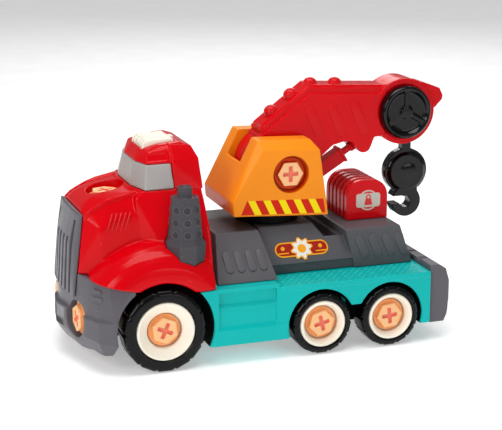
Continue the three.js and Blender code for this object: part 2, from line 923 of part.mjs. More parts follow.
function turntable() {
  const radius = 26;
  const points = [];
  const slope = Math.tan(THREE.MathUtils.degToRad(TURRET_LEAN));
  for (let i = 0; i < 24; i += 1) {
    const angle = (i / 24) * 2 * Math.PI;
    const x = TURRET_AXIS_X + radius * Math.cos(angle);
    const y = radius * Math.sin(angle);
    points.push([x, y, DECK_TOP + RUNNING_GAP]);
    points.push([x, y, 102.4 + (x - PIVOT.x) * slope]);
  }
  const spigot = post(SPIGOT_RADIUS, SPIGOT_RADIUS, 80, DECK_TOP + 2, TURRET_AXIS_X, 0, 20);
  return hull(points).add(spigot);
}

piece("turret_turntable", turntable(), DARK_GREY);

function retainer() {
  const top = DECK_TOP - 6 - RUNNING_GAP;
  const ring = post(18, 18, top - 4, top, TURRET_AXIS_X, 0, 20);
  const bore = SPIGOT_RADIUS + GAP;
  return ring.subtract(post(bore, bore, top - 6, top + 2, TURRET_AXIS_X, 0, 20));
}

piece("turret_retainer", retainer(), DARK_GREY);

// ---------- boom ----------

// The boom's side view, drooping a little towards its tip as it stands.
function boomOutline() {
  const heelStart = THREE.MathUtils.degToRad(8);
  const heelEnd = THREE.MathUtils.degToRad(62);
  const hubStart = THREE.MathUtils.degToRad(225);
  const hubEnd = THREE.MathUtils.degToRad(330);
  const outline = new THREE.Shape();
  outline.absarc(PIVOT.x, PIVOT.z, HEEL_RADIUS, heelStart, heelEnd, false);
  outline.lineTo(-1.7, 164.4);
  outline.lineTo(-45.7, 197.8);
  outline.lineTo(-112, 193.8);
  outline.lineTo(-112, 158.5);
  outline.lineTo(-102.9, 158);
  outline.absarc(STRUT_HEAD.x, STRUT_HEAD.z, LUG_RADIUS, Math.PI * 1.1, Math.PI * 1.85, false);
  outline.lineTo(-83, 155.3);
  outline.lineTo(-76, 156);
  outline.lineTo(-66, 153.8);
  outline.lineTo(-58, 147);
  outline.absarc(PIVOT.x, PIVOT.z, HUB_RADIUS, hubStart, hubEnd, false);
  outline.closePath();
  return outline;
}

// The rim stands a little above the side panels.
function rimOutline() {
  return [
    [-8, 150],
    [-3.4, 170.5],
    [-45.3, 203],
    [-112, 199.2],
    [-112, 165],
    [-60, 165],
  ];
}

// The spine stands above the rim, and runs on past the drum into the nose.
function spineOutline() {
  return [
    [-6, 150],
    [-4.7, 173.3],
    [-46.2, 204.7],
    [-112, 200.8],
    [-148, 200.6],
    [-156, 197.8],
    [-163.5, 194.8],
    [-HALF_LENGTH, 188.5],
    [-165.8, 185],
    [-160.5, 179.5],
    [-140, 165],
    [-60, 165],
  ];
}

// One half of the boom casing, from the middle plane to its outer face.
function boomHalf(side) {
  const from = (a, b) => (side > 0 ? [a, b] : [-b, -a]);
  const full = from(GAP / 2, BOOM_HALF_WIDTH);
  const drumRange = from(GAP / 2, DRUM.halfWidth);
  const body = joined([
    plate(boomOutline(), ...full),
    plate(rimOutline(), ...from(GAP / 2, BOOM_RIM_HALF_WIDTH)),
    plate(spineOutline(), ...from(GAP / 2, BOOM_SPINE_HALF_WIDTH)),
    disc(DRUM.radius, ...drumRange, DRUM.x, DRUM.z, 24),
  ]);
  const hollow = plate(
    [
      [-46, 193.5],
      [-98, 190],
      [-98, 165],
      [-80, 160],
      [-66, 158],
      [-50, 151.5],
      [-36, 151.5],
      [-8, 160],
      [-6, 163],
    ].reverse(),
    ...from(-1, BOOM_HALF_WIDTH - 3.5),
  );
  const drumHollow = disc(DRUM.radius - 6, ...from(-1, 10), DRUM.x, DRUM.z, 20);
  const cuts = [
    hollow,
    drumHollow,
    disc(KNOB_RADIUS + RUNNING_GAP, ...from(DRUM.halfWidth, 20), DRUM.x, DRUM.z, 24),
    disc(SCREW_SHANK_RADIUS + RUNNING_GAP, -40, 40, PIVOT.x, PIVOT.z, 12),
    disc(4 + RUNNING_GAP, -40, 40, DRUM.x, DRUM.z, 12),
    // slot that the hook's neck swings in
    block(-152, -117, ...from(-1, 5), 130, 168),
    disc(2.5 + GAP, ...from(-1, 12.5), HOOK_PIVOT.x, HOOK_PIVOT.z, 10),
    // slot for the strut's head, beside the lug
    block(-107, -79, ...from(-1, 4.5), 130, 158),
    disc(2.5 + GAP, ...from(-1, 10), STRUT_HEAD.x, STRUT_HEAD.z, 10),
  ];
  return body.subtract(joined(cuts));
}

piece("boom_shell_left", boomHalf(1), RED);
piece("boom_shell_right", boomHalf(-1), RED);

// ---------- winch ----------

function knob(side) {
  const near = DRUM.halfWidth + RUNNING_GAP;
  const far = near + 7.5;
  const range = (a, b) => (side > 0 ? [a, b] : [-b, -a]);
  const body = disc(KNOB_RADIUS, ...range(near, far), DRUM.x, DRUM.z, 24);
  const cuts = [];
  for (let i = 0; i < 3; i += 1) {
    const angle = Math.PI / 2 + (i * 2 * Math.PI) / 3 + Math.PI / 3;
    const x = DRUM.x + 10 * Math.cos(angle);
    const z = DRUM.z + 10 * Math.sin(angle);
    cuts.push(disc(6.2, ...range(far - 4, far + 1), x, z, 14));
  }
  cuts.push(disc(4 + GAP, ...range(near - 1, near + 4), DRUM.x, DRUM.z, 12));
  return body.subtract(joined(cuts));
}

piece("winch_knob_left", knob(1), BLACK);
piece("winch_knob_right", knob(-1), BLACK);
const axleReach = DRUM.halfWidth + RUNNING_GAP + 3.5;
piece("winch_axle", disc(4, -axleReach, axleReach, DRUM.x, DRUM.z, 12), DARK_GREY);

// ---------- hook ----------

piece("hook_pin", disc(2.5, -12, 12, HOOK_PIVOT.x, HOOK_PIVOT.z, 10), DARK_GREY);

function hook() {
  const { x, z } = HOOK_PIVOT;
  const blockZ = z - HOOK_BLOCK_DROP;
  const neck = disc(5.5, -4, 4, x, z, 16).add(block(x - 4, x + 4, -4, 4, blockZ, z));
  const blockBody = disc(18.5, -8, 8, x, blockZ, 24);
  const hookRing = disc(13.2, -5, 5, x, blockZ - 27, 20);
  const stem = block(x - 8, x + 8, -5, 5, blockZ - 24, blockZ - 10);
  const eye = disc(5.8, -9, 9, x + 1, blockZ - 27.5, 16);
  const mouth = block(x + 3, x + 20, -9, 9, blockZ - 29.5, blockZ - 20.5);
  const body = joined([neck, blockBody, hookRing, stem]).subtract(joined([eye, mouth]));
  return body.subtract(disc(2.5 + RUNNING_GAP, -9, 9, x, z, 10));
}

piece("hook", hook(), BLACK);

// ---------- strut ----------

const strutLength = Math.hypot(STRUT_HEAD.x - STRUT_FOOT.x, STRUT_HEAD.z - STRUT_FOOT.z);
const strutAngle = Math.atan2(STRUT_HEAD.z - STRUT_FOOT.z, STRUT_FOOT.x - STRUT_HEAD.x);

// Turns a shape made along -X from the origin so that it points up the strut from a pin.
function alongStrut(shape, pin) {
  const made = shape.getMesh();
  const geometry = new THREE.BufferGeometry();
  geometry.setAttribute("position", new THREE.BufferAttribute(made.vertProperties, 3));
  geometry.setIndex(new THREE.BufferAttribute(made.triVerts, 1));
  geometry.rotateY(strutAngle).translate(pin.x, 0, pin.z);
  return solid(geometry);
}

const ROD_HALF = 2.4;
const SLEEVE_HALF = 5.6;
const SLEEVE_LENGTH = 31;

function strutSleeve() {
  const tube = block(-SLEEVE_LENGTH, -4, -SLEEVE_HALF, SLEEVE_HALF, -SLEEVE_HALF, SLEEVE_HALF);
  const eye = disc(SLEEVE_HALF, -SLEEVE_HALF, SLEEVE_HALF, 0, 0, 16);
  const throat = ROD_HALF + 1.4;
  const bore = block(-SLEEVE_LENGTH - 1, -8, -throat, throat, -throat, throat);
  const pinHole = disc(2.5 + RUNNING_GAP, -9, 9, 0, 0, 10);
  return tube.add(eye).add(block(-6, 0, -SLEEVE_HALF, SLEEVE_HALF, -4, 4)).subtract(bore.add(pinHole));
}

function strutRod() {
  const reach = strutLength - 10;
  const rod = block(0, reach, -ROD_HALF, ROD_HALF, -ROD_HALF, ROD_HALF);
  const eye = disc(4.6, -3.8, 3.8, 0, 0, 14);
  return rod.add(eye).subtract(disc(2.5 + RUNNING_GAP, -9, 9, 0, 0, 10));
}

piece("strut_sleeve", alongStrut(strutSleeve(), STRUT_FOOT), RED);
piece("strut_rod", alongStrut(strutRod(), STRUT_HEAD), RED);
piece("strut_foot_pin", disc(2.5, -14, 14, STRUT_FOOT.x, STRUT_FOOT.z, 10), DARK_GREY);
piece("strut_head_pin", disc(2.5, -9.5, 9.5, STRUT_HEAD.x, STRUT_HEAD.z, 10), DARK_GREY);

function strutBracket() {
  const cheeks = [];
  for (const side of [1, -1]) {
    const [y0, y1] = side > 0 ? [SLEEVE_HALF + RUNNING_GAP, 12] : [-12, -SLEEVE_HALF - RUNNING_GAP];
    cheeks.push(disc(5.5, y0, y1, STRUT_FOOT.x, STRUT_FOOT.z, 14));
    cheeks.push(block(STRUT_FOOT.x - 5.5, STRUT_FOOT.x + 5.5, y0, y1, 119, STRUT_FOOT.z));
  }
  const base = block(STRUT_FOOT.x - 5.5, STRUT_FOOT.x + 5.5, -12, 12, 117.5, 120);
  return joined([base, ...cheeks]).subtract(
    disc(2.5 + GAP, -20, 20, STRUT_FOOT.x, STRUT_FOOT.z, 10),
  );
}

piece("strut_bracket", strutBracket(), RED);

// ---------- standing on the ground ----------

for (const mesh of group.children) {
  mesh.position.z += BASE_HEIGHT;
}

export default group;
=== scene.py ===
"""Looks of a take-apart toy tow truck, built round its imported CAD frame.

Shapes are worked out in millimetres in the CAD's own frame (+X forward, +Y the truck's left,
+Z up) and scaled to metres when a piece is finished.
"""

import math

import bmesh
import bpy
from mathutils import Matrix, Vector


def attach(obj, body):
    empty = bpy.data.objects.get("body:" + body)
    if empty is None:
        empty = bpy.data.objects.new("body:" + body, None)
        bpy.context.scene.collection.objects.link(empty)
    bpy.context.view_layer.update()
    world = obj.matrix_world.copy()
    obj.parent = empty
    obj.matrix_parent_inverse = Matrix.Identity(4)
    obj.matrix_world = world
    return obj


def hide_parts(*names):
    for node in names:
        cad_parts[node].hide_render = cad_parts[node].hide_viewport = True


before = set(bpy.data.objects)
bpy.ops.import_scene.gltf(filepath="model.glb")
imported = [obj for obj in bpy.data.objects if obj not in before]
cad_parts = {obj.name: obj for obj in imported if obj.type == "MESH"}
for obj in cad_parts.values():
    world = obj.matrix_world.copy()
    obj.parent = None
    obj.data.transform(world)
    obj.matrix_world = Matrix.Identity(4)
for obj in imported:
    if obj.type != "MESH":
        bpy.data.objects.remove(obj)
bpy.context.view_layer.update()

MM = 0.001
SIDES = 96  # facets of a round moulded shape
ENDS = (("left", 1), ("right", -1))

# ---------- driving dimensions, as in the CAD (mm) ----------

HALF_LENGTH = 166.5
HALF_WIDTH = 80
GAP = 0.35
BASE_HEIGHT = 1.6  # heights below are drawn from a plane this far above the ground

FRONT_AXLE_X = 97.5
REAR_AXLES_X = (-32.7, -91.8)
TREAD_FACETS = 14
FLAT_RATIO = math.cos(math.pi / TREAD_FACETS)
FRONT_TYRE_RADIUS = 34
REAR_TYRE_RADIUS = 25.8
FRONT_AXLE_Z = FRONT_TYRE_RADIUS * FLAT_RATIO - BASE_HEIGHT
REAR_AXLE_Z = REAR_TYRE_RADIUS * FLAT_RATIO - BASE_HEIGHT
FRONT_HUB_RADIUS = 23.3
REAR_HUB_RADIUS = 19
WHEEL_WIDTH = 23
HUB_FLOOR = 9.5

CHASSIS_BOTTOM = 14
CHASSIS_TOP = 57.6
CHASSIS_HALF_WIDTH = 78
CHASSIS_REAR = -127.5
CHASSIS_STEP = 3.5
CHASSIS_FRONT = 71
FRONT_SECTION_TOP = 60
CAB_BASE = FRONT_SECTION_TOP + GAP
TONGUE_FRONT = 133
TONGUE_HALF_WIDTH = 37
HOLLOW_FRONT = 51
FRAME_HOLLOW = 47.5
POCKET_WALL = 51
REAR_ARCH_RADIUS = 28.4
FRONT_ARCH_RADIUS = 38
WEB_BOTTOM = 36.4  # chassis side between the two rear arches

DECK_TOP = 94
REAR_DECK_TOP = 90.5
TURRET_AXIS_X = -13
TURRET_HALF_WIDTH = 37.5
TURRET_LEAN = 2.4
SLOT_HALF_WIDTH = 16.5
PIVOT = (-21, 137.4)
BOOM_HALF_WIDTH = 14.5
RIM_HALF_WIDTH = 12
SPINE_HALF_WIDTH = 10
DRUM = (-129.3, 177.8)
DRUM_RADIUS = 27.6
DRUM_HALF_WIDTH = 13.8
KNOB_RADIUS = 22.2
STRUT_FOOT = (-53, 127.5)
STRUT_HEAD = (-93.5, 152)
HOOK_PIVOT = (-137, 158.5)
HOOK_BLOCK_Z = 125.5

WELL = (123.8, 121.8, 15.1)  # hood screw well: x, floor height, radius
STACK = (75.5, 60)
STACK_TURN = 0.13  # the eight-sided stacks are turned a little on the fenders
HEADLIGHT = (151, 34, 35.3)
HEADLIGHT_TURN = math.radians(4.5)
LAMP_CUP_RADIUS = 14.7


# ---------- camera, light and floor ----------

CAMERA_PLACE = (0.4235, 1.2038, 0.4338)
CAMERA_LOOK = (-0.3207, -0.9124, -0.2543)
CAMERA_LENS = 114.7


def make_camera():
    camera = bpy.data.objects.new("camera", bpy.data.cameras.new("camera"))
    camera.data.lens = CAMERA_LENS
    camera.data.sensor_width = 36
    camera.location = CAMERA_PLACE
    camera.rotation_euler = Vector(CAMERA_LOOK).to_track_quat("-Z", "Y").to_euler()
    bpy.context.scene.collection.objects.link(camera)
    bpy.context.scene.camera = camera


def area_light(name, place, target, size, power):
    lamp = bpy.data.objects.new(name, bpy.data.lights.new(name, "AREA"))
    lamp.data.shape = "RECTANGLE"
    lamp.data.size, lamp.data.size_y = size
    lamp.data.energy = power
    lamp.location = place
    away = Vector(target) - Vector(place)
    lamp.rotation_euler = away.to_track_quat("-Z", "Y").to_euler()
    bpy.context.scene.collection.objects.link(lamp)


def make_studio():
    middle = (0.0, 0.0, 0.08)
    area_light("overhead", (0.1, 0.1, 1.3), middle, (1.0, 0.8), 11)
    area_light("front_softbox", (1.1, 0.7, 0.75), middle, (0.5, 0.7), 6)
    area_light("side_fill", (-0.5, 1.4, 0.5), middle, (0.8, 0.5), 2.5)
    area_light("back_fill", (-0.6, -1.3, 0.9), middle, (1.0, 0.6), 5)
    world = bpy.data.worlds.new("studio")
    world.use_nodes = True
    background = world.node_tree.nodes["Background"]
    background.inputs["Color"].default_value = (1, 1, 1, 1)
    background.inputs["Strength"].default_value = 0.22
    bpy.context.scene.world = world
    bpy.context.scene.view_settings.view_transform = "Standard"


def make_floor():
    mesh = bpy.data.meshes.new("floor")
    reach = 6
    corners = [(-reach, -reach, 0), (reach, -reach, 0), (reach, reach, 0), (-reach, reach, 0)]
    mesh.from_pydata(corners, [], [(0, 1, 2, 3)])
    floor = bpy.data.objects.new("floor", mesh)
    floor.location.z = -0.0003
    bpy.context.scene.collection.objects.link(floor)
    paper = plastic("floor_paper", (250, 250, 250), 0.9, coat=0, specular=0)
    glow = paper.node_tree.nodes["Principled BSDF"]
    glow.inputs["Emission Color"].default_value = (1, 1, 1, 1)
    glow.inputs["Emission Strength"].default_value = 0.36
    floor.data.materials.append(paper)


# ---------- materials ----------


def linear(rgb):
    out = []
    for value in rgb:
        share = value / 255
        out.append(share / 12.92 if share <= 0.04045 else ((share + 0.055) / 1.055) ** 2.4)
    return (*out, 1.0)


def shade(color, factor):
    return (*(min(1.0, value * factor) for value in color[:3]), 1.0)


def noise(nodes, links, vector, scale, detail=3):
    texture = nodes.new("ShaderNodeTexNoise")
    texture.inputs["Scale"].default_value = scale
    texture.inputs["Detail"].default_value = detail
    links.new(vector, texture.inputs["Vector"])
    return texture.outputs["Fac"]


def mapped(nodes, links, value, low, high, source_low=0.0, source_high=1.0):
    span = nodes.new("ShaderNodeMapRange")
    span.inputs["From Min"].default_value = source_low
    span.inputs["From Max"].default_value = source_high
    span.inputs["To Min"].default_value = low
    span.inputs["To Max"].default_value = high
    links.new(value, span.inputs["Value"])
    return span.outputs["Result"]


def mixed(nodes, links, share, first, second):
    mix = nodes.new("ShaderNodeMix")
    mix.data_type = "RGBA"
    links.new(share, mix.inputs["Factor"])
    for socket, value in (("A", first), ("B", second)):
        target = [s for s in mix.inputs if s.name == socket and s.type == "RGBA"][0]
        if isinstance(value, tuple):
            target.default_value = value
        else:
            links.new(value, target)
    return [s for s in mix.outputs if s.type == "RGBA"][0]


def plastic(name, rgb, roughness, coat=0.05, edge_wear_and_highlight=0.12, grain=0.03, specular=0.13):
    """Moulded plastic: faint mottling, orange-peel grain, uneven gloss and paler edges, partly wear
    and partly a painted highlight.
    """
    material = bpy.data.materials.new(name)
    material.use_nodes = True
    nodes, links = material.node_tree.nodes, material.node_tree.links
    surface = nodes["Principled BSDF"]
    place = nodes.new("ShaderNodeTexCoord").outputs["Object"]
    color = linear(rgb)
    mottle = mapped(nodes, links, noise(nodes, links, place, 22), 0, 1, 0.3, 0.7)
    base = mixed(nodes, links, mottle, shade(color, 0.955), shade(color, 1.035))
    pointiness = nodes.new("ShaderNodeNewGeometry").outputs["Pointiness"]
    # Convex edges turn paler: partly real wear, partly a painted highlight along them.
    worn_and_lit_share = mapped(nodes, links, pointiness, 0, edge_wear_and_highlight, 0.52, 0.6)
    pale = tuple(0.72 * value + 0.28 for value in color[:3]) + (1.0,)
    links.new(mixed(nodes, links, worn_and_lit_share, base, pale), surface.inputs["Base Color"])
    patches = noise(nodes, links, place, 55, 5)
    gloss = mapped(nodes, links, patches, roughness * 0.8, roughness * 1.25, 0.3, 0.7)
    links.new(gloss, surface.inputs["Roughness"])
    bump = nodes.new("ShaderNodeBump")
    bump.inputs["Strength"].default_value = grain
    bump.inputs["Distance"].default_value = 0.0004
    links.new(noise(nodes, links, place, 700, 2), bump.inputs["Height"])
    links.new(bump.outputs["Normal"], surface.inputs["Normal"])
    surface.inputs["Specular IOR Level"].default_value = specular
    surface.inputs["Coat Weight"].default_value = coat
    surface.inputs["Coat Roughness"].default_value = 0.12
    return material


RED = plastic("red_gloss", (213, 0, 14), 0.17, coat=0.05)
TEAL = plastic("teal_satin", (0, 185, 181), 0.34)
DARK_GREY = plastic("dark_grey_satin", (91, 90, 94), 0.38)
MID_GREY = plastic("mid_grey_satin", (99, 96, 102), 0.3)
STACK_GREY = plastic("stack_grey", (76, 74, 79), 0.28)
# Painted shade for the floors of the grille's slots.
SLOT_SHADE_GREY = plastic("grille_slot_painted_shade", (46, 45, 48), 0.5, edge_wear_and_highlight=0)
# Painted shade for the floors of the stack dimples.
DIMPLE_SHADE_GREY = plastic("dimple_floor_painted_shade", (62, 60, 65), 0.4, edge_wear_and_highlight=0)
# Painted shade: black on the faces inside the wheel pockets and on the turntable under the turret.
SHADE_BLACK = plastic("painted_shade_black", (7, 7, 8), 0.6, coat=0, edge_wear_and_highlight=0, specular=0.1)
WINDOW = plastic("windscreen_grey", (168, 163, 160), 0.26, coat=0.1, edge_wear_and_highlight=0)
ORANGE = plastic("orange_satin", (255, 147, 26), 0.32)
# Painted shade for the recess round each pivot screw.
RECESS_SHADE_ORANGE = plastic("recess_painted_shade", (214, 72, 10), 0.4, edge_wear_and_highlight=0)
PEACH = plastic("screw_peach", (255, 196, 140), 0.36, edge_wear_and_highlight=0.1)
# Painted shade for a screw's hexagon sides and flange.
SCREW_SIDE_SHADE = plastic("screw_side_painted_shade", (252, 170, 108), 0.38, edge_wear_and_highlight=0.1)
# Painted shade for a screw's cross recess.
CROSS_SHADE_PINK = plastic("screw_cross_painted_shade", (243, 132, 108), 0.45, edge_wear_and_highlight=0)
CREAM = plastic("cream_gloss", (250, 243, 226), 0.28, coat=0.1, edge_wear_and_highlight=0)
BLACK = plastic("black_gloss", (7, 6, 8), 0.1, coat=0.15, edge_wear_and_highlight=0.02, specular=0.25)
TYRE = plastic("tyre_black", (7, 6, 8), 0.2, coat=0.06, edge_wear_and_highlight=0.02, grain=0.06, specular=0.16)
HAZARD_RED = plastic("hazard_red", (214, 30, 2), 0.4, edge_wear_and_highlight=0)
HAZARD_YELLOW = plastic("hazard_yellow", (255, 224, 0), 0.4, edge_wear_and_highlight=0)
LABEL_RED = plastic("label_red", (168, 38, 22), 0.4, edge_wear_and_highlight=0)
LABEL_GOLD = plastic("label_gold", (250, 172, 40), 0.4, edge_wear_and_highlight=0)
LABEL_WHITE = plastic("label_white", (244, 240, 232), 0.4, edge_wear_and_highlight=0)
LABEL_GREY = plastic("label_grey", (205, 196, 184), 0.4, edge_wear_and_highlight=0)


# ---------- shapes ----------


def raw(points, faces):
    mesh = bpy.data.meshes.new("shape")
    mesh.from_pydata([tuple(p) for p in points], [], faces)
    return shown(mesh)


def shown(mesh):
    work = bmesh.new()
    work.from_mesh(mesh)
    bmesh.ops.recalc_face_normals(work, faces=work.faces)
    work.to_mesh(mesh)
    work.free()
    shape = bpy.data.objects.new("shape", mesh)
    bpy.context.scene.collection.objects.link(shape)
    return shape


def hull(points):
    work = bmesh.new()
    for point in points:
        work.verts.new(point)
    made = bmesh.ops.convex_hull(work, input=work.verts)
    spare = set(made["geom_interior"] + made["geom_unused"])
    spare = [item for item in spare if isinstance(item, bmesh.types.BMVert)]
    bmesh.ops.delete(work, geom=spare, context="VERTS")
    mesh = bpy.data.meshes.new("shape")
    work.to_mesh(mesh)
    work.free()
    return shown(mesh)


def mirrored_hull(points):
    return hull([*points, *((x, -y, z) for x, y, z in points)])


def block(x0, x1, y0, y1, z0, z1):
    return hull([(x, y, z) for x in (x0, x1) for y in (y0, y1) for z in (z0, z1)])


def prism(ring_a, ring_b):
    """The solid between two outlines of the same number of points."""
    count = len(ring_a)
    faces = [tuple(range(count)), tuple(range(2 * count - 1, count - 1, -1))]
    faces += [(i, (i + 1) % count, count + (i + 1) % count, count + i) for i in range(count)]
    return raw([*ring_a, *ring_b], faces)


def plate(outline, y0, y1):
    return prism([(x, y0, z) for x, z in outline], [(x, y1, z) for x, z in outline])


def circle(radius, sides=SIDES, start=0.0):
    angles = [start + i * (2 * math.pi / sides) for i in range(sides)]
    return [(radius * math.cos(angle), radius * math.sin(angle)) for angle in angles]


def disc(radius, y0, y1, x, z, sides=SIDES):
    return plate([(x + a, z + b) for a, b in circle(radius, sides)], y0, y1)


def post(bottom_radius, top_radius, z0, z1, x, y, sides=SIDES, start=0.0):
    low = [(x + a, y + b, z0) for a, b in circle(bottom_radius, sides, start)]
    high = [(x + a, y + b, z1) for a, b in circle(top_radius, sides, start)]
    return prism(low, high)


def turned(profile, x=0.0, z=0.0, sides=SIDES, radius_at=None):
    """A solid of revolution along Y, from a closed loop of (radius, y) points off the axis."""
    points, faces = [], []
    count = len(profile)
    for step in range(sides):
        angle = 2 * math.pi * step / sides
        for index, (radius, y) in enumerate(profile):
            reach = radius_at(index, radius, angle) if radius_at else radius
            points.append((x + reach * math.sin(angle), y, z + reach * math.cos(angle)))
    for step in range(sides):
        here, there = step * count, ((step + 1) % sides) * count
        for i in range(count):
            j = (i + 1) % count
            faces.append((here + i, here + j, there + j, there + i))
    return raw(points, faces)


def tube(points, radius, sides=12):
    """A round bar through points, closed at both ends."""
    rings = []
    for i, point in enumerate(points):
        before = Vector(points[max(0, i - 1)])
        after = Vector(points[min(len(points) - 1, i + 1)])
        along = (after - before).normalized()
        side = along.cross(Vector((0, 0, 1)) if abs(along.z) < 0.9 else Vector((1, 0, 0))).normalized()
        up = side.cross(along)
        rings.append([Vector(point) + side * a + up * b for a, b in circle(radius, sides)])
    verts = [v for ring in rings for v in ring]
    faces = [tuple(range(sides)), tuple(range(len(verts) - 1, len(verts) - sides - 1, -1))]
    for r in range(len(rings) - 1):
        for i in range(sides):
            j = (i + 1) % sides
            faces.append((r * sides + i, r * sides + j, (r + 1) * sides + j, (r + 1) * sides + i))
    return raw(verts, faces)


def bake(shape):
    """Applies the shape's modifiers."""
    seen = shape.evaluated_get(bpy.context.evaluated_depsgraph_get())
    mesh = bpy.data.meshes.new_from_object(seen)
    shape.modifiers.clear()
    old = shape.data
    shape.data = mesh
    bpy.data.meshes.remove(old)
    return shape


def drop(shape):
    mesh = shape.data
    bpy.data.objects.remove(shape)
    bpy.data.meshes.remove(mesh)


def boolean(shape, tools, operation):
    for tool in tools:
        modifier = shape.modifiers.new("boolean", "BOOLEAN")
        modifier.operation = operation
        modifier.solver = "MANIFOLD"
        modifier.object = tool
        bake(shape)
        drop(tool)
    return shape


def join(shape, *others):
    return boolean(shape, others, "UNION")


def cut(shape, *tools):
    return boolean(shape, tools, "DIFFERENCE")


def keep(shape, tool):
    return boolean(shape, [tool], "INTERSECT")


def heap(shapes):
    """One mesh of several separate shapes that don't touch."""
    work = bmesh.new()
    for shape in shapes:
        work.from_mesh(shape.data)
        drop(shape)
    mesh = bpy.data.meshes.new("shape")
    work.to_mesh(mesh)
    work.free()
    return shown(mesh)


def moved(shape, matrix):
    shape.data.transform(matrix)
    return shape


def span(side, near, far):
    """Two distances from the truck's middle on one side of it, the lower one first."""
    return sorted((side * near, side * far))


def mirror(shape):
    """A copy on the other side of the truck."""
    copy = shape.data.copy()
    copy.transform(Matrix.Scale(-1, 4, Vector((0, 1, 0))))
    copy.flip_normals()
    return shown(copy)


def soften(shape, cell=0.7, passes=5, share=0.5):
    """Rounds every edge as a mould does: a fine even mesh, smoothed, then thinned."""
    fine = shape.modifiers.new("even", "REMESH")
    fine.mode = "VOXEL"
    fine.voxel_size = cell * 1
    smooth = shape.modifiers.new("smooth", "SMOOTH")
    smooth.factor = 0.5
    smooth.iterations = passes
    if share < 1:
        thin = shape.modifiers.new("thin", "DECIMATE")
        thin.ratio = share
    return bake(shape)


def bevelled(shape, width, segments=3, angle=28):
    bevel = shape.modifiers.new("bevel", "BEVEL")
    bevel.width = width
    bevel.segments = segments
    bevel.limit_method = "ANGLE"
    bevel.angle_limit = math.radians(angle)
    bevel.harden_normals = False
    return bake(shape)


def piece(shape, name, body, material, nodes=(), paint=None):
    """Scales a shape to metres and hands it to the frame. paint picks a material by face."""
    shape.name = name
    shape.data.name = name
    materials = material if isinstance(material, (list, tuple)) else [material]
    shape.data.materials.clear()
    for item in materials:
        shape.data.materials.append(item)
    for face in shape.data.polygons:
        face.use_smooth = True
        face.material_index = paint(face.center) if paint else 0
    shape.data.transform(Matrix.Scale(MM, 4) @ Matrix.Translation((0, 0, BASE_HEIGHT)))
    if nodes:
        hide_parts(*nodes)
    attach(shape, body)
    return shape


def flat(shape, angle=30):
    """Shades faces flat across edges sharper than the angle."""
    shape.data.set_sharp_from_angle(angle=math.radians(angle))
    return shape


def facing(origin, along, normal):
    """The place at origin whose X runs along and whose Z runs along normal."""
    up = Vector(normal).normalized()
    x_axis = (Vector(along) - up * Vector(along).dot(up)).normalized()
    matrix = Matrix((x_axis, up.cross(x_axis), up)).transposed().to_4x4()
    matrix.translation = Vector(origin)
    return matrix


def placed(shape, origin, along, normal):
    """Moves a shape made on the XY plane to a place."""
    return moved(shape, facing(origin, along, normal))


def both_sides(shapes):
    """One mesh of the shapes and their copies on the other side of the truck."""
    return heap(shapes + [mirror(shape) for shape in shapes])


def capsule_outline(length, width, arc=10):
    """A round-ended bar's outline about the origin, along X."""
    half, radius = (length - width) / 2, width / 2
    points = []
    for end, start in ((half, -math.pi / 2), (-half, math.pi / 2)):
        for i in range(arc + 1):
            angle = start + math.pi * i / arc
            points.append((end + radius * math.cos(angle), radius * math.sin(angle)))
    return points


def pad(length, width, height, sink=1.0, tilt=0.0):
    """A raised round-ended pad with a soft edge, on the XY plane and sunk a little into it."""
    outline = capsule_outline(length, width)
    low = [(x, y, -sink) for x, y in outline]
    high = [(x, y, height + tilt * x) for x, y in outline]
    return bevelled(prism(low, high), min(height, width) * 0.45, 3, 50)


# ---------- screws ----------

CROSS_LONG = 6.5
CROSS_SHORT = 1.6
CROSS_FLOOR = 4.4
FLANGE_RADIUS = 13
FLANGE_TOP = 2.6
HEAD_RADIUS = 11.6
HEAD_TOP = 6.4
SHANK_RADIUS = 4
SHANK_BORE = 4.4
heads = {}


def screw_mesh(shank):
    """A fat screw along +Z with its seat at the origin, kept for every screw of that length."""
    if shank not in heads:
        body = join(
            post(FLANGE_RADIUS, FLANGE_RADIUS, 0, FLANGE_TOP, 0, 0, 64),
            post(HEAD_RADIUS, HEAD_RADIUS - 0.8, 2, HEAD_TOP, 0, 0, 6),
            post(SHANK_RADIUS, SHANK_RADIUS, -shank, 1, 0, 0, 32),
        )
        for a, b in ((CROSS_LONG, CROSS_SHORT), (CROSS_SHORT, CROSS_LONG)):
            cut(body, block(-a, a, -b, b, CROSS_FLOOR, HEAD_TOP + 2))
        heads[shank] = soften(body, 0.42, 3, 0.7)
        heads[shank].hide_render = True
    return heads[shank]


def screw_paint(inverse):
    """Picks the painted shade of the cross recess, the peach of the hexagon's top, or the painted
    shade of its sides and the flange.
    """

    def pick(center):
        x, y, z = inverse @ center
        low, high = sorted((abs(x), abs(y)))
        inside = low < CROSS_SHORT + 0.3 and high < CROSS_LONG + 0.3
        # The cross recess takes a painted shade.
        if inside and CROSS_FLOOR - 0.6 < z < HEAD_TOP - 0.25:
            return 2
        # The hexagon's top keeps the peach; its sides and the flange take the painted shade.
        return 0 if z > HEAD_TOP - 0.7 else 1

    return pick


# ring is the painted shade given to a screw's hexagon sides and flange.
def screw(name, body, shank, seat, direction, spin, ring=SCREW_SIDE_SHADE):
    up = Vector(direction).normalized()
    matrix = up.to_track_quat("Z", "Y").to_matrix().to_4x4() @ Matrix.Rotation(spin, 4, "Z")
    matrix.translation = Vector(seat)
    copy = screw_mesh(shank).data.copy()
    copy.transform(matrix)
    shape = bpy.data.objects.new("shape", copy)
    bpy.context.scene.collection.objects.link(shape)
    paint = screw_paint(matrix.inverted())
    colors = [PEACH, ring, CROSS_SHADE_PINK]
    piece(shape, name + "_fat_head", body, colors, [name], paint)


# ---------- wheels ----------

LUG_DEPTH = 1.5
HUB_CUP_RADIUS = 14.2
AXLE_END = Matrix.Rotation(math.pi, 4, "Z")  # turns a wheel's outer face to the right side


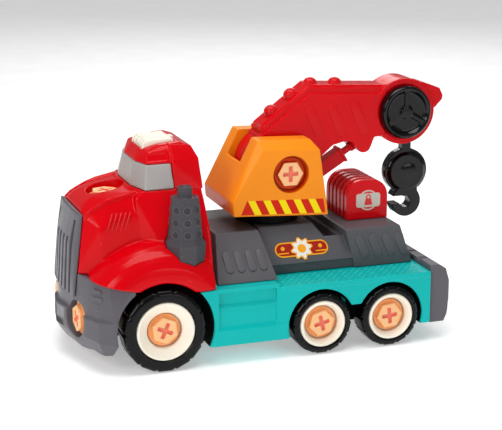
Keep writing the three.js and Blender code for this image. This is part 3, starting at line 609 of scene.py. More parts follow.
def tyre_shape(radius, hub_radius, side):
    """A tyre with a flat on each facet of its tread and a groove between each two."""
    wide = WHEEL_WIDTH
    profile = [
        (hub_radius + 0.5, -1.2, 0),
        (hub_radius + 1.3, -0.4, 0),
        (radius - 5.0, -0.2, 0),
        (radius - 3.2, -0.6, 0.4),
        (radius - 1.8, -1.3, 0.8),
        (radius - 0.7, -2.3, 1),
        (radius - 0.2, -3.4, 1),
        (radius, -5.0, 1),
        (radius, 5.0 - wide, 1),
        (radius - 0.2, 3.4 - wide, 1),
        (radius - 0.7, 2.3 - wide, 1),
        (radius - 1.8, 1.3 - wide, 0.8),
        (radius - 5.0, 0.4 - wide, 0),
        (hub_radius + 1.3, 0.6 - wide, 0),
        (hub_radius + 0.5, 1.2 - wide, 0),
    ]
    facet = 2 * math.pi / TREAD_FACETS

    def tread(index, reach, angle):
        weight = profile[index][2]
        within = (angle + facet / 2) % facet - facet / 2
        flat_share = FLAT_RATIO / math.cos(facet / 2 - abs(within)) if weight else 1
        groove = max(0.0, 1 - abs(within) / 0.06)
        return reach * (1 - weight + weight * flat_share) - LUG_DEPTH * weight * groove

    loop = [point[:2] for point in profile]
    shape = turned(loop, sides=TREAD_FACETS * 16, radius_at=tread)
    moved(shape, Matrix.Rotation(facet / 2, 4, "Y"))
    return shape if side > 0 else moved(shape, AXLE_END)


def hub_shape(hub_radius, side):
    """A dished hub with a cup for its screw."""
    cup = HUB_CUP_RADIUS
    profile = [
        (hub_radius, -1.0),
        (hub_radius - 0.5, -0.2),
        (hub_radius - 1.4, 0),
        (hub_radius - 2.2, -0.3),
        (hub_radius - 2.8, -1.1),
        (cup + 1.0, -3.9),
        (cup + 0.2, -4.6),
        (cup, -5.6),
        (cup, -HUB_FLOOR),
        (4.5, -HUB_FLOOR),
        (4.5, -WHEEL_WIDTH),
        (9, -WHEEL_WIDTH),
        (9, -HUB_FLOOR - 3.5),
        (hub_radius - 3, -HUB_FLOOR - 3.5),
        (hub_radius - 3, 1 - WHEEL_WIDTH),
        (hub_radius, 1 - WHEEL_WIDTH),
    ]
    shape = turned(profile)
    return shape if side > 0 else moved(shape, AXLE_END)


def make_wheels():
    rear = (REAR_AXLE_Z, REAR_TYRE_RADIUS, REAR_HUB_RADIUS)
    rows = [
        ("front", FRONT_AXLE_X, FRONT_AXLE_Z, FRONT_TYRE_RADIUS, FRONT_HUB_RADIUS, -0.4),
        ("middle", REAR_AXLES_X[0], *rear, 0.25),
        ("rear", REAR_AXLES_X[1], *rear, 0.1),
    ]
    for row, x, z, radius, hub_radius, spin in rows:
        for end, side in ENDS:
            name = row + "_" + end
            wheel = name + "_wheel"
            place = Matrix.Translation((x, side * HALF_WIDTH, z))
            rubber = moved(tyre_shape(radius, hub_radius, side), place)
            piece(flat(rubber, 38), name + "_tread", wheel, TYRE, [name + "_tyre"])
            dish = moved(hub_shape(hub_radius, side), place)
            piece(flat(dish, 50), name + "_dish", wheel, CREAM, [name + "_hub"])
            seat = (x, side * (HALF_WIDTH - HUB_FLOOR + GAP), z)
            screw(name + "_screw", "chassis", 32, seat, (0, side, 0), spin)


# ---------- chassis ----------


PANEL_ENDS_X = (6, 54)


def panel_recesses():
    """Two stepped panels a side, the upper one deeper, each with a sloping ledge at its foot."""
    tools = []
    wide = CHASSIS_HALF_WIDTH
    for depth, ledge, foot, top in ((3.2, 44.3, 47.2, 57.2), (1.7, 27.4, 29.8, 44.4)):
        for side in (1, -1):
            inner, outer = side * (wide - depth), side * (wide + 2)
            low = ledge - (foot - ledge) * 2 / depth
            section = ((inner, foot), (inner, top), (outer, low), (outer, top))
            tools.append(hull([(x, y, z) for x in PANEL_ENDS_X for y, z in section]))
    return tools


def chassis_body():
    """The teal moulding: a hollow box with a tongue under the cab, side panels and wheel pockets."""
    wide = CHASSIS_HALF_WIDTH
    body = block(CHASSIS_REAR, CHASSIS_FRONT, -wide, wide, CHASSIS_BOTTOM, CHASSIS_TOP)
    join(body, block(CHASSIS_STEP, CHASSIS_FRONT, -wide, wide, 40, FRONT_SECTION_TOP))
    join(body, block(CHASSIS_FRONT - 1, TONGUE_FRONT, -TONGUE_HALF_WIDTH, TONGUE_HALF_WIDTH, 18, 56))
    hollow = FRAME_HOLLOW
    cut(body, block(CHASSIS_REAR + 6, HOLLOW_FRONT, -hollow, hollow, 0, CHASSIS_TOP - 4))
    inner = TONGUE_HALF_WIDTH - 4
    cut(body, block(HOLLOW_FRONT - 1, TONGUE_FRONT - 4, -inner, inner, 0, 50))
    for side in (1, -1):
        near, far = span(side, wide - 1, wide + 0.7)
        join(body, block(CHASSIS_REAR + 1, 1, near, far, 53.6, CHASSIS_TOP))
        join(body, block(-3.5, 58, near, far, CHASSIS_BOTTOM, 27.4))
    cut(body, *panel_recesses())
    for side in (1, -1):
        near, far = span(side, POCKET_WALL, wide + 4)
        for x in REAR_AXLES_X:
            cut(body, disc(REAR_ARCH_RADIUS, near, far, x, REAR_AXLE_Z))
        cut(body, block(REAR_AXLES_X[1] + 25, REAR_AXLES_X[0] - 25, near, far, 0, WEB_BOTTOM))
        near, far = span(side, POCKET_WALL - 7, wide + 4)
        cut(body, disc(FRONT_ARCH_RADIUS + 2, near, far, FRONT_AXLE_X, FRONT_AXLE_Z))
    for x, z in ((FRONT_AXLE_X, FRONT_AXLE_Z), *((x, REAR_AXLE_Z) for x in REAR_AXLES_X)):
        cut(body, disc(7.4, -60, 60, x, z, 32))
    return soften(body, 0.6, 3, 0.35)


def pocket_shade_paint(center):
    """Picks the painted shade, black, for the faces inside the wheel pockets."""
    if abs(center.y) > CHASSIS_HALF_WIDTH - 2:
        return 0
    axles = [(FRONT_AXLE_X, FRONT_AXLE_Z, FRONT_ARCH_RADIUS + 3)]
    axles += [(x, REAR_AXLE_Z, REAR_ARCH_RADIUS + 1) for x in REAR_AXLES_X]
    return int(any(math.hypot(center.x - x, center.z - z) < radius for x, z, radius in axles))


def tread_bumps():
    """Raised lozenges in a staggered pattern on both running boards."""
    bumps = []
    pitch_x, pitch_y = 5.6, 3.5
    lozenge = [(2.0, 0), (0.8, 0.7), (-0.8, 0.7), (-2.0, 0), (-0.8, -0.7), (0.8, -0.7)]
    low = [(a, b, -0.4) for a, b in lozenge]
    high = [(a * 0.62, b * 0.5, 0.42) for a, b in lozenge]
    for row in range(8):
        for column in range(21):
            x = -3.5 - column * pitch_x - (row % 2) * pitch_x / 2
            y = 50.8 + row * pitch_y
            turn = math.radians(35 if (row + column) % 2 else -35)
            bump = moved(prism(low, high), Matrix.Rotation(turn, 4, "Z"))
            bumps.append(moved(bump, Matrix.Translation((x, y, CHASSIS_TOP))))
            bumps.append(mirror(bumps[-1]))
    return heap(bumps)


def make_chassis():
    # The second material is painted shade inside the wheel pockets.
    colors = [TEAL, SHADE_BLACK]
    nodes = ["chassis_frame"]
    piece(chassis_body(), "chassis_moulding", "chassis", colors, nodes, pocket_shade_paint)
    piece(tread_bumps(), "running_board_tread", "chassis", TEAL)
    make_rear_bumper()


def make_rear_bumper():
    front, end = CHASSIS_REAR - GAP, -145
    outline = [(front, 13), (end + 4, 13), (end + 1, 20), (end, 32), (end, 48), (end + 3, 58)]
    outline += [(end + 9, 62), (front, 62)]
    body = plate(outline, -76, 76)
    cut(body, block(front - 11, front + 1, -68, 68, 0, 56))
    for y in (-52, -30, 30, 52):
        cut(body, block(end - 2, front + 1, y - 2, y + 2, 60.2, 66))
        cut(body, block(end - 2, end + 1.6, y - 2, y + 2, 30, 66))
    cut(body, block(end - 2, end + 1.4, -22, 22, 30, 52))
    soften(body, 0.7, 5, 0.5)
    piece(body, "rear_bumper_bar", "chassis", MID_GREY, ["rear_bumper"])


# ---------- deck ----------


def deck_body():
    """A raised front, a sunk middle with a ledge, and a rear block, hollow from below."""
    base = CHASSIS_TOP + GAP
    top = DECK_TOP
    back = REAR_DECK_TOP
    front = mirrored_hull([(51, 67, CAB_BASE), (1, 67, CAB_BASE), (43.5, 37, top), (7, 37, top)])
    middle = [(8, 48, 66), (-58, 48, 66), (4, 30, top), (-42, 30, top), (-50, 37.1, 83)]
    middle = mirrored_hull(middle)
    ledge = [(-40, 48, 66), (-72, 48, 66), (-40, 37.1, 83), (-64, 37.1, 83), (-71, 37.5, 81)]
    ledge = mirrored_hull(ledge)
    rear = mirrored_hull([(-73, 48, base), (-124, 48, base), (-64, 48, back), (-112.5, 48, back)])
    tail = mirrored_hull([(-118, 40, base), (-127, 40, base), (-118, 40, 68), (-127, 40, 63)])
    body = join(front, middle, ledge, block(-122, 2, -45, 45, base, 67), rear, tail)
    cut(body, block(-63, -50, -34, 34, 75, 95))
    cut(body, mirrored_hull([(46, 61, base - 2), (6, 61, base - 2), (39, 33, 88), (11, 33, 88)]))
    cut(body, block(-66, 12, -40, 40, base - 2, 70))
    cut(body, block(-114, -70, -42, 42, base - 2, REAR_DECK_TOP - 5))
    cut(body, post(11.5, 11.5, 60, top + 2, TURRET_AXIS_X, 0))
    return soften(body, 0.6, 3, 0.4)


def deck_pads():
    """Four raised pads on each sloping front side and four on each rear side."""
    pads = []
    for x in (38.8, 29.4, 20.0, 10.8):
        spot, down, out = (x, 54.6, 74.6), (-1.6, 30, -33.65), (0, 33.65, 30)
        pads.append(placed(pad(19, 6.4, 0.8), spot, down, out))
    for x in (-75.8, -87.4, -99.1, -110.4):
        pads.append(placed(pad(21, 7.0, 0.8), (x - 3, 48, 75), (-8.5, 0, -20), (0, 1, 0)))
    return both_sides(pads)


def make_deck():
    piece(deck_body(), "deck_moulding", "chassis", DARK_GREY, ["deck_cover"])
    piece(flat(deck_pads(), 20), "deck_pads", "chassis", DARK_GREY)


# ---------- counterweight ----------


def rounded_slab(x0, x1, z0, z1, radius, arc=10):
    """Side outline of a slab with two round top corners."""
    points = [(x1, z0)]
    for center, start in ((x1 - radius, 0.0), (x0 + radius, math.pi / 2)):
        for i in range(arc + 1):
            angle = start + math.pi / 2 * i / arc
            points.append((center + radius * math.cos(angle), z1 - radius + radius * math.sin(angle)))
    points.append((x0, z0))
    return points


def make_counterweight():
    base = REAR_DECK_TOP + GAP
    body = block(-108, -79.5, -21, 21, base, 119)
    for index in range(6):
        y = (index - 2.5) * 8
        join(body, plate(rounded_slab(-112, -75.5, base, 124, 14), y - 2.7, y + 2.7))
    soften(body, 0.5, 3, 0.4)
    piece(body, "counterweight_fins", "chassis", RED, ["counterweight"])
    for end, side in ENDS:
        make_weight_plaque("weight_plaque_" + end, side)


def label_piece(name, body, outlines, place, materials):
    """Thin label islands, (points, lift, material index) on the XY plane, moved into place."""
    shapes, marks = [], []
    for points, lift, mark in outlines:
        low = [(x, y, -0.3) for x, y in points]
        shapes.append(prism(low, [(x, y, lift) for x, y in points]))
        marks += [mark] * len(shapes[-1].data.polygons)
    label = piece(moved(heap(shapes), place), name, body, materials)
    for face, mark in zip(label.data.polygons, marks):
        face.material_index = mark
        face.use_smooth = False


def on_side(origin, side, normal=(0, 1, 0)):
    """The place of a label whose X runs along the truck and whose Z points outwards."""
    (x, y, z), (a, b, c) = origin, normal
    return facing((x, y * side, z), (-side, 0, 0), (a, b * side, c))


def rounded_rectangle(width, height, radius, arc=6):
    points = []
    corners = ((1, 1, 0), (-1, 1, 1), (-1, -1, 2), (1, -1, 3))
    for sx, sy, quarter in corners:
        for i in range(arc + 1):
            angle = math.pi / 2 * (quarter + i / arc)
            cx, cy = sx * (width / 2 - radius), sy * (height / 2 - radius)
            points.append((cx + radius * math.cos(angle), cy + radius * math.sin(angle)))
    return points


def make_weight_plaque(name, side):
    """A pale plaque with a plain kettle-weight mark."""
    weight = [(-3.6, -4), (3.6, -4), (2.5, 1.2), (-2.5, 1.2)]
    ring, hole = ([(a, 2.7 + b) for a, b in circle(radius, 24)] for radius in (2.3, 1.2))
    outlines = [
        (circle(8.6, 40), 0.35, 0),
        (circle(7.4, 40), 0.45, 1),
        (rounded_rectangle(21.5, 11.6, 2.2), 0.55, 0),
        (weight, 0.68, 1),
        (ring, 0.66, 1),
        (hole, 0.7, 0),
    ]
    place = on_side((-94.5, 22.75, 106.9), side)
    label_piece(name, "chassis", outlines, place, [LABEL_GREY, RED])


# ---------- emblem on the deck's side ----------


def cog_outline(inner, outer, teeth):
    points = []
    for i in range(teeth * 4):
        angle = 2 * math.pi * (i + 0.5) / (teeth * 4)
        radius = outer if i % 4 in (0, 1) else inner
        points.append((radius * math.cos(angle), radius * math.sin(angle)))
    return points


def make_emblem(name, side):
    """A round-ended badge with a plain cog and two dots."""
    outlines = [
        (capsule_outline(46, 12.5, 14), 0.3, 1),
        (capsule_outline(43.6, 10.1, 14), 0.42, 0),
        (cog_outline(7.6, 9.8, 8), 0.55, 1),
        (cog_outline(6.2, 8.4, 8), 0.7, 2),
        (circle(3.6, 28), 0.85, 1),
    ]
    for x in (-16.2, 16.2):
        dot = [(x + a, 1.1 + b) for a, b in circle(1.7, 20)]
        line = [(x - 4.5, -3.5), (x + 4.5, -3.5), (x + 4.5, -2.5), (x - 4.5, -2.5)]
        outlines += [(dot, 0.6, 1), (line, 0.6, 1)]
    place = on_side((-28.4, 41.5, 76.3), side, normal=(0, 28, 18))
    colors = [LABEL_RED, LABEL_GOLD, LABEL_WHITE]
    label_piece(name, "chassis", outlines, place, colors)


# ---------- cab ----------

# Corners of the left half of each part of the cab.
HOOD = [
    (158, 34, 71), (152, 24, 116.5), (153, 31, 108), (149, 33, 116.5), (143, 33, 121.3),
    (145, 20, 124.5), (139, 18, 128), (128, 33.5, 128.5), (130, 18, 130.3), (104, 35, 133),
    (100, 0, 136.4), (100, 46, CAB_BASE), (138, 46, 72), (138, 43, 108), (100, 43, 118),
]
LOWER_CAB = [
    (110, 43, CAB_BASE), (110, 41.5, 130), (104, 41, 134.5), (56, 42, 134.5), (55, 60, 107),
    (54.5, 66, 82), (54.5, 70, CAB_BASE), (78, 66, CAB_BASE), (84, 54, 107), (90, 46, 90),
]
UPPER_CAB = [
    (107, 20, 134), (101.3, 41, 134), (56, 42, 134), (98.3, 34, 154), (103.5, 16, 154),
    (96, 30, 162.5), (98, 10, 164), (57, 32, 157), (60, 26, 165), (68, 24, 167.5), (84, 24, 167),
]
REAR_CAB = [
    (78, 42.8, 134), (55.2, 42.8, 134), (78, 35.4, 155.5), (56, 34, 156.5), (78, 26, 167.6),
    (60, 26.5, 165.4), (68, 24, 168.2),
]
COWL = [(110, 22, 130), (104, 41, 130), (110, 22, 135), (102.5, 41.5, 135), (96, 30, 135)]


def fender(side):
    """A mudguard turned round the front axle, from its arch's edge to the cab's side."""
    edge = FRONT_ARCH_RADIUS
    profile = [
        (edge, 40), (edge, 77), (edge + 2.5, 78.5), (46, 77.8), (50, 77), (54.6, 74.6),
        (58.5, 71.5), (61.6, 67.2), (64, 62), (65.6, 55), (66, 47.6), (64.6, 46), (64.6, 40),
    ]
    ring = turned([(r, side * y) for r, y in profile], FRONT_AXLE_X, FRONT_AXLE_Z, 128)
    near, far = span(side, 30, 90)
    return keep(ring, block(55.5, 158, near, far, CAB_BASE, 110))


def cab_front(z):
    """The cab's front face, which the grille lies against, leans back towards its top."""
    return 149.5 + (117.5 - z) * 0.123


def ahead_of_cab():
    """The room in front of the cab's front face."""
    outline = [(cab_front(40), 40), (180, 40), (180, 140), (cab_front(140), 140)]
    return plate(outline, -90, 90)


def below_seam(lift):
    """The room under the rising seam between the cab and the front bumper."""

    def height(x):
        return 65.2 + (x - 121) * 0.186 + lift

    return plate([(112, 40), (180, 40), (180, height(180)), (112, height(112))], -90, 90)


def wheel_pocket(side):
    near, far = span(side, 44.5, 90)
    return disc(FRONT_ARCH_RADIUS, near, far, FRONT_AXLE_X, FRONT_AXLE_Z)


def windscreen_outer(grow):
    return mirrored_hull(
        [
            (108 + grow, 20, 135 - grow), (102 + grow, 41.7 + grow, 135 - grow),
            (78 - grow, 42 + grow, 135 - grow), (104.5 + grow, 16, 153.5 + grow),
            (99 + grow, 35 + grow, 153.5 + grow), (79 - grow, 35.2 + grow, 153.5 + grow),
        ]
    )


def windscreen_inner(grow):
    return mirrored_hull(
        [
            (104.5 - grow, 18, 130), (99 - grow, 38 - grow, 130), (70, 38 - grow, 130),
            (101 - grow, 14, 158), (95 - grow, 31.5 - grow, 158), (70, 31.5 - grow, 158),
        ]
    )


def stack_solid(side, grow=0.0):
    x, y = STACK[0], side * STACK[1]
    start = side * (math.pi / 8 - STACK_TURN)
    body = post(7 + grow, 15.6 + grow, 63 - grow, 84.01, x, y, 8, start)
    join(body, post(15.6 + grow, 16.6 + grow, 84, 96.51, x, y, 8, start))
    join(body, post(16.6 + grow, 13.8 + grow, 96.5, 101.01, x, y, 8, start))
    join(body, post(13.8 + grow, 11.2 + grow, 101, 133 + grow, x, y, 8, start))
    return join(body, post(5.9 + grow, 5.9 + grow, 130, 141 + grow, x, y, 48))


def cab_cuts():
    well_x, well_floor, well_radius = WELL
    band = cut(windscreen_outer(GAP), windscreen_inner(GAP))
    lamp = block(70.6, 97.4, -17.4, 17.4, 160, 175)
    tools = [wheel_pocket(1), wheel_pocket(-1), band, lamp]
    tools += [stack_solid(1, GAP), stack_solid(-1, GAP)]
    tools += [ahead_of_cab(), below_seam(GAP)]
    tools.append(post(well_radius, well_radius + 0.6, well_floor, 150, well_x, 0))
    tools.append(post(SHANK_BORE, SHANK_BORE, 80, 150, well_x, 0, 32))
    inner = TONGUE_HALF_WIDTH + 1
    tools.append(block(60, 148, -inner, inner, 40, 64))
    tools.append(mirrored_hull([(146, 28, 60), (102, 34, 60), (144, 24, 100), (102, 32, 100)]))
    tools.append(mirrored_hull([(101, 37, 60), (62, 37, 60), (97, 33, 126), (61, 34, 126)]))
    return tools


def shoulder(side):
    """The rolled edge that runs along the top of the hood."""
    points = [(107, 34.4, 132.9), (115, 34.0, 131.3), (123, 33.8, 129.7), (130.5, 33.6, 127.2)]
    points += [(138, 33.3, 123.6), (143.5, 33.1, 120.7), (147.4, 32.9, 117.2), (149.6, 32.7, 113.6)]
    return tube([(x, side * y, z) for x, y, z in points], 1.7, 20)


def roof_recess(side):
    """The shallow panel let into the roof's side above the window."""
    low, high = 155.6, 161.4
    corners = [(x, 32.4 if z == low else 29.7, z) for x in (81, 98) for z in (low, high)]
    corners += [(x, 38, z) for x in (81, 98) for z in (low, high)]
    return hull([(x, side * y, z) for x, y, z in corners])


def cab_body():
    """Each part is rounded as much as it is on the real moulding before they are joined."""
    body = soften(mirrored_hull(HOOD), 0.9, 16, 1)
    join(body, soften(mirrored_hull(LOWER_CAB), 0.9, 10, 1))
    join(body, soften(mirrored_hull(UPPER_CAB), 0.8, 4, 1))
    join(body, mirrored_hull(COWL), fender(1), fender(-1))
    soften(body, 0.7, 3, 1)
    join(body, mirrored_hull(REAR_CAB), shoulder(1), shoulder(-1))
    cut(body, *cab_cuts(), roof_recess(1), roof_recess(-1))
    return soften(body, 0.55, 2, 0.4)


def front_pocket_shade_paint(center):
    """Picks the painted shade, black, for the faces inside the front wheel pockets."""
    inside = math.hypot(center.x - FRONT_AXLE_X, center.z - FRONT_AXLE_Z) < FRONT_ARCH_RADIUS + 0.8
    return int(inside and abs(center.y) < 75.5)


def hood_vents():
    """Five slanted ribs on each side of the hood."""
    vents = []
    for index in range(5):
        x = 115.5 + index * 3.6
        low, high = (x + 3.4, 43.3, 105), (x - 1.0, 43.0, 119.5)
        vents.append(tube([low, high], 0.55, 10))
    return both_sides(vents)


def make_windscreen():
    band = soften(windscreen_outer(0), 0.7, 7, 1)
    cut(band, windscreen_inner(0))
    soften(band, 0.45, 2, 0.4)
    piece(band, "windscreen_moulding", "chassis", WINDOW, ["windscreen_band"])


def make_roof_light():
    points = [(71, 17, 160), (97, 17, 160), (71, 15.6, 168.8), (72.5, 14.6, 169.9)]
    points += [(93, 14.6, 169.2), (96, 15.6, 167)]
    lamp = mirrored_hull(points)
    for y in (-11, -3.7, 3.7, 11):
        cut(lamp, block(92.5, 99, y - 1.1, y + 1.1, 160, 175))
    join(lamp, block(67.5, 72, -4, 4, 166.2, 169))
    soften(lamp, 0.45, 4, 0.5)
    piece(lamp, "roof_light_moulding", "chassis", CREAM, ["roof_light"])


def stack_dimples(side):
    """Ringed dimples in columns on the outer faces of an exhaust stack, and their floors, which carry
    a painted shade.
    """
    rings, floors = [], []
    x, y = STACK[0], side * STACK[1]
    profile = [(2.5, -0.5), (2.5, 0.35), (3.0, 0.5), (3.5, 0.35), (3.5, -0.5)]
    for column in (-2, -1, 0, 1, 2):
        angle = math.radians(90 + column * 45) - STACK_TURN
        facing = Vector((math.cos(angle), side * math.sin(angle), 0.08))
        for z, apothem in ((104.6, 12.45), (114.2, 11.75), (123.8, 11.0)):
            reach = Vector((facing.x, facing.y, 0)).normalized() * apothem
            spot = (x + reach.x, y + reach.y, z)
            ring = moved(turned(profile, sides=28), Matrix.Rotation(math.pi / 2, 4, "X"))
            rings.append(placed(ring, spot, (0, 0, 1), facing))
            floors.append(placed(post(2.55, 2.55, -0.4, 0.1, 0, 0, 24), spot, (0, 0, 1), facing))
    return heap(rings), heap(floors)


def make_stacks():
    for end, side in ENDS:
        body = soften(stack_solid(side), 0.4, 3, 0.5)
        cut(body, post(4.0, 4.0, 134, 145, STACK[0], side * STACK[1], 40))
        node = "exhaust_stack_" + end
        piece(body, "exhaust_" + end, "chassis", STACK_GREY, [node])
        rings, floors = stack_dimples(side)
        name = "exhaust_dimples_" + end
        piece(flat(rings), name, "chassis", STACK_GREY)
        # The dimple floors are discs of painted shade.
        name = "exhaust_dimple_shade_" + end
        piece(flat(floors), name, "chassis", DIMPLE_SHADE_GREY)


def make_cab():
    # The second material is painted shade inside the front wheel pockets.
    colors = [RED, SHADE_BLACK]
    piece(cab_body(), "cab_moulding", "chassis", colors, ["cab_shell"], front_pocket_shade_paint)
    piece(hood_vents(), "hood_vents", "chassis", RED)
    make_windscreen()
    make_roof_light()
    make_stacks()
    screw("hood_screw", "chassis", 18, (WELL[0], 0, WELL[1] + GAP), (0, 0, 1), 0.3)


# ---------- grille and front bumper ----------

GRILLE_BOTTOM = 52.5
GRILLE_SLOTS = ((5, 97), (14.5, 97), (24, 112))  # distance from the middle, height of the top
SLOT_FLOOR = ((158.6, 54), (156.2, 92), (154.8, 97), (151.9, 112))


def slot_floor(height):
    """How far forward the floor of a grille slot is at a height."""
    for (x0, z0), (x1, z1) in zip(SLOT_FLOOR, SLOT_FLOOR[1:]):
        if height <= z1:
            return x0 + (x1 - x0) * (height - z0) / (z1 - z0)
    return SLOT_FLOOR[-1][0]


def grille_body():
    """A bowed plate with slots in pairs, shorter towards its middle."""
    low, top = GRILLE_BOTTOM, 118
    points = [
        (cab_front(top) + GAP, 33.5, top), (cab_front(low) + GAP, 34.2, low), (151.8, 33.5, top),
        (153.1, 20, top), (153.6, 8, top), (156.7, 31, 90), (158.9, 20, 92.6), (159.6, 8, 92.6),
        (159.5, 34, low), (161.2, 20, low), (162.4, 6, low),
    ]
    body = soften(mirrored_hull(points), 0.6, 3, 1)
    for distance, height in GRILLE_SLOTS:
        for y in (-distance, distance):
            floor = [point for point in SLOT_FLOOR if point[1] <= height]
            cut(body, plate([*floor, (180, height), (180, 54)], y - 2, y + 2))
    return soften(body, 0.42, 2, 0.5)


def grille_paint(center):
    """Paints shade on the floors of the slots."""
    for distance, height in GRILLE_SLOTS:
        if abs(abs(center.y) - distance) < 1.8 and 54.4 < center.z < height:
            return int(center.x < slot_floor(center.z) + 0.5)
    return 0


def make_grille():
    # The second material is painted shade on the slot floors.
    colors = [MID_GREY, SLOT_SHADE_GREY]
    body = grille_body()
    piece(body, "grille_moulding", "chassis", colors, ["grille"], grille_paint)


def bumper_bow(z0, z1):
    bow = [(HALF_LENGTH, 0), (163.5, 16), (159.5, 34), (154.5, 52), (148, 68), (137, 78)]
    bow.append((134, 78))
    return mirrored_hull([(x, y, z) for x, y in bow for z in (z0, z1)])


def bumper_body():
    """A bowed bar between a skirt and an upper part that wraps the grille's foot and lamps."""
    body = bumper_bow(24, 41)
    rim = [(HALF_LENGTH, 0), (159.5, 34), (148, 68), (137, 78), (134, 78)]
    skirt = [(x, y, 24.1) for x, y in rim]
    skirt += [(163, 0, 18), (158, 34, 18), (145, 67, 18), (136, 75, 20)]
    skirt += [(158, 0, 11), (153, 34, 11), (142, 62, 11), (136, 66, 12)]
    rim = [(162.5, 0), (158, 34), (152.5, 52), (146, 66), (137, 76), (118, 76)]
    upper = [(x, y, 40.9) for x, y in rim]
    upper += [(160.5, 12, 76), (155.8, 34, 76), (150, 50, 76), (140, 66, 76), (118, 76, 76)]
    join(body, mirrored_hull(skirt), mirrored_hull(upper))
    soften(body, 0.8, 4, 1)
    hollow = [(154, 24, 0), (148, 52, 0), (134, 70, 0), (120, 70, 0), (110, 40, 0)]
    hollow += [(153, 20, 80), (146, 48, 80), (120, 50, 80), (110, 40, 80)]
    cut(body, mirrored_hull(hollow))
    cut(body, cut(block(90, 180, -95, 95, 40, 95), below_seam(0)))
    room = block(90, 180, -34.6, 34.6, GRILLE_BOTTOM - GAP, 95)
    cut(body, keep(room, ahead_of_cab()))
    cut(body, wheel_pocket(1), wheel_pocket(-1), block(90, 120, -90, 90, 0, 90))
    inner = TONGUE_HALF_WIDTH + 1
    cut(body, block(90, TONGUE_FRONT + GAP, -inner, inner, 0, 90))
    for side in (1, -1):
        cut(body, lamp_bore(LAMP_CUP_RADIUS, 0, 30, side), lamp_bore(SHANK_BORE, -40, 30, side))
    cut(body, block(162.8, 180, -15, 15, 24, 38))
    return soften(body, 0.55, 2, 0.5)


def lamp_bore(radius, start, end, side):
    """A round room along a headlight screw's axis, from start to end ahead of its seat."""
    x, y, z = HEADLIGHT
    bore = moved(post(radius, radius, start, end, 0, 0), Matrix.Rotation(math.pi / 2, 4, "Y"))
    turn = Matrix.Rotation(side * HEADLIGHT_TURN, 4, "Z")
    return moved(bore, Matrix.Translation((x, side * y, z)) @ turn)


def make_bumper():
    # The second material is painted shade inside the front wheel pockets.
    colors = [MID_GREY, SHADE_BLACK]
    name, nodes = "front_bumper_moulding", ["front_bumper"]
    piece(bumper_body(), name, "chassis", colors, nodes, front_pocket_shade_paint)
    pads = []
    along, out = (-0.48, 0.877, 0), (0.877, 0.48, 0.1)
    for x, z, length in ((146.0, 63.2, 9), (146.5, 57.6, 13), (147.0, 52, 9)):
        pads.append(placed(pad(length, 3.4, 1.1, 1.6), (x, 59.5, z), along, out))
    relief = flat(both_sides(pads), 20)
    piece(relief, "bumper_relief", "chassis", MID_GREY)
    for end, side in ENDS:
        direction = (math.cos(HEADLIGHT_TURN), side * math.sin(HEADLIGHT_TURN), 0)
        x, y, z = HEADLIGHT
        seat = (x + GAP * direction[0], side * y + GAP * direction[1], z)
        screw("bumper_screw_" + end, "chassis", 12, seat, direction, 0.5)


# ---------- turret ----------


def lean_matrix(degrees):
    """A turn about the boom's pivot, the top to the rear."""
    to_pivot = Matrix.Translation((PIVOT[0], 0, PIVOT[1]))
    return to_pivot @ Matrix.Rotation(math.radians(-degrees), 4, "Y") @ to_pivot.inverted()


def turret_body():
    """A leaning block with a slot for the boom and a cup for each pivot screw."""
    half = TURRET_HALF_WIDTH
    points = [
        (29.1, 33, 116.3), (27.4, half, 115.5), (26.4, half, 104.4), (22, 30, 103.2),
        (-54.8, half, 103), (-44.6, half, 157.2), (3.7, half, 157.8), (-38, 31, 165), (7.1, 31, 165),
    ]
    body = soften(mirrored_hull(points), 0.6, 4, 1)
    slot = [(60, 144.1), (14, 144.1), (14, 118), (-80, 118), (-80, 190), (60, 190)]
    cut(body, plate(slot, -SLOT_HALF_WIDTH, SLOT_HALF_WIDTH))
    for side in (1, -1):
        near, far = span(side, 29, 50)
        cut(body, disc(15.3, near, far, *PIVOT))
    cut(body, disc(SHANK_BORE, -50, 50, *PIVOT, 32))
    cut(body, block(-47, 18, -31, 31, 90, 113.5))
    soften(body, 0.55, 2, 0.4)
    return moved(body, lean_matrix(TURRET_LEAN))


def recess_shade_liner(side):
    """A thin cup lining the recess round a pivot screw, in a painted shade of the turret's orange."""
    profile = [(15.0, 29.2), (15.0, 35.2), (14.6, 35.2), (14.6, 29.6), (13.4, 29.6), (13.4, 29.2)]
    return turned([(r, side * y) for r, y in profile], *PIVOT)


def clip(polygon, inside):
    """The part of a polygon where inside(point) is not negative."""
    kept = []
    for i, point in enumerate(polygon):
        after = polygon[(i + 1) % len(polygon)]
        a, b = inside(point), inside(after)
        if a >= 0:
            kept.append(point)
        if a * b < 0:
            share = a / (a - b)
            kept.append(tuple(p + (q - p) * share for p, q in zip(point, after)))
    return kept


def half_plane(a, b):
    """Positive to the left of the line from a to b."""
    return lambda p: (b[0] - a[0]) * (p[1] - a[1]) - (b[1] - a[1]) * (p[0] - a[0])


def hazard_stripes(side):
    """A red band with slanted yellow stripes along the foot of a turret cheek, as a thin label."""
    corners = [(-50.5, 103.8), (21.9, 107.4), (16.8, 118.8), (-48.7, 115.6)]
    outlines = [([(-x * side, z) for x, z in corners], 0.2, 0)]
    pitch, width, slant = 12.6, 5.9, 0.48
    for index in range(6):
        right = 15.5 - index * pitch
        left = right - width
        down, up = 15.5 * slant, 3.5 * slant
        stripe = [(left - down, 102), (right - down, 102), (right + up, 121), (left + up, 121)]
        for i in range(4):
            stripe = clip(stripe, half_plane(corners[i], corners[(i + 1) % 4]))
            if len(stripe) < 3:
                break
        if len(stripe) >= 3:
            outlines.append(([(-x * side, z) for x, z in stripe], 0.32, 1))
    return outlines


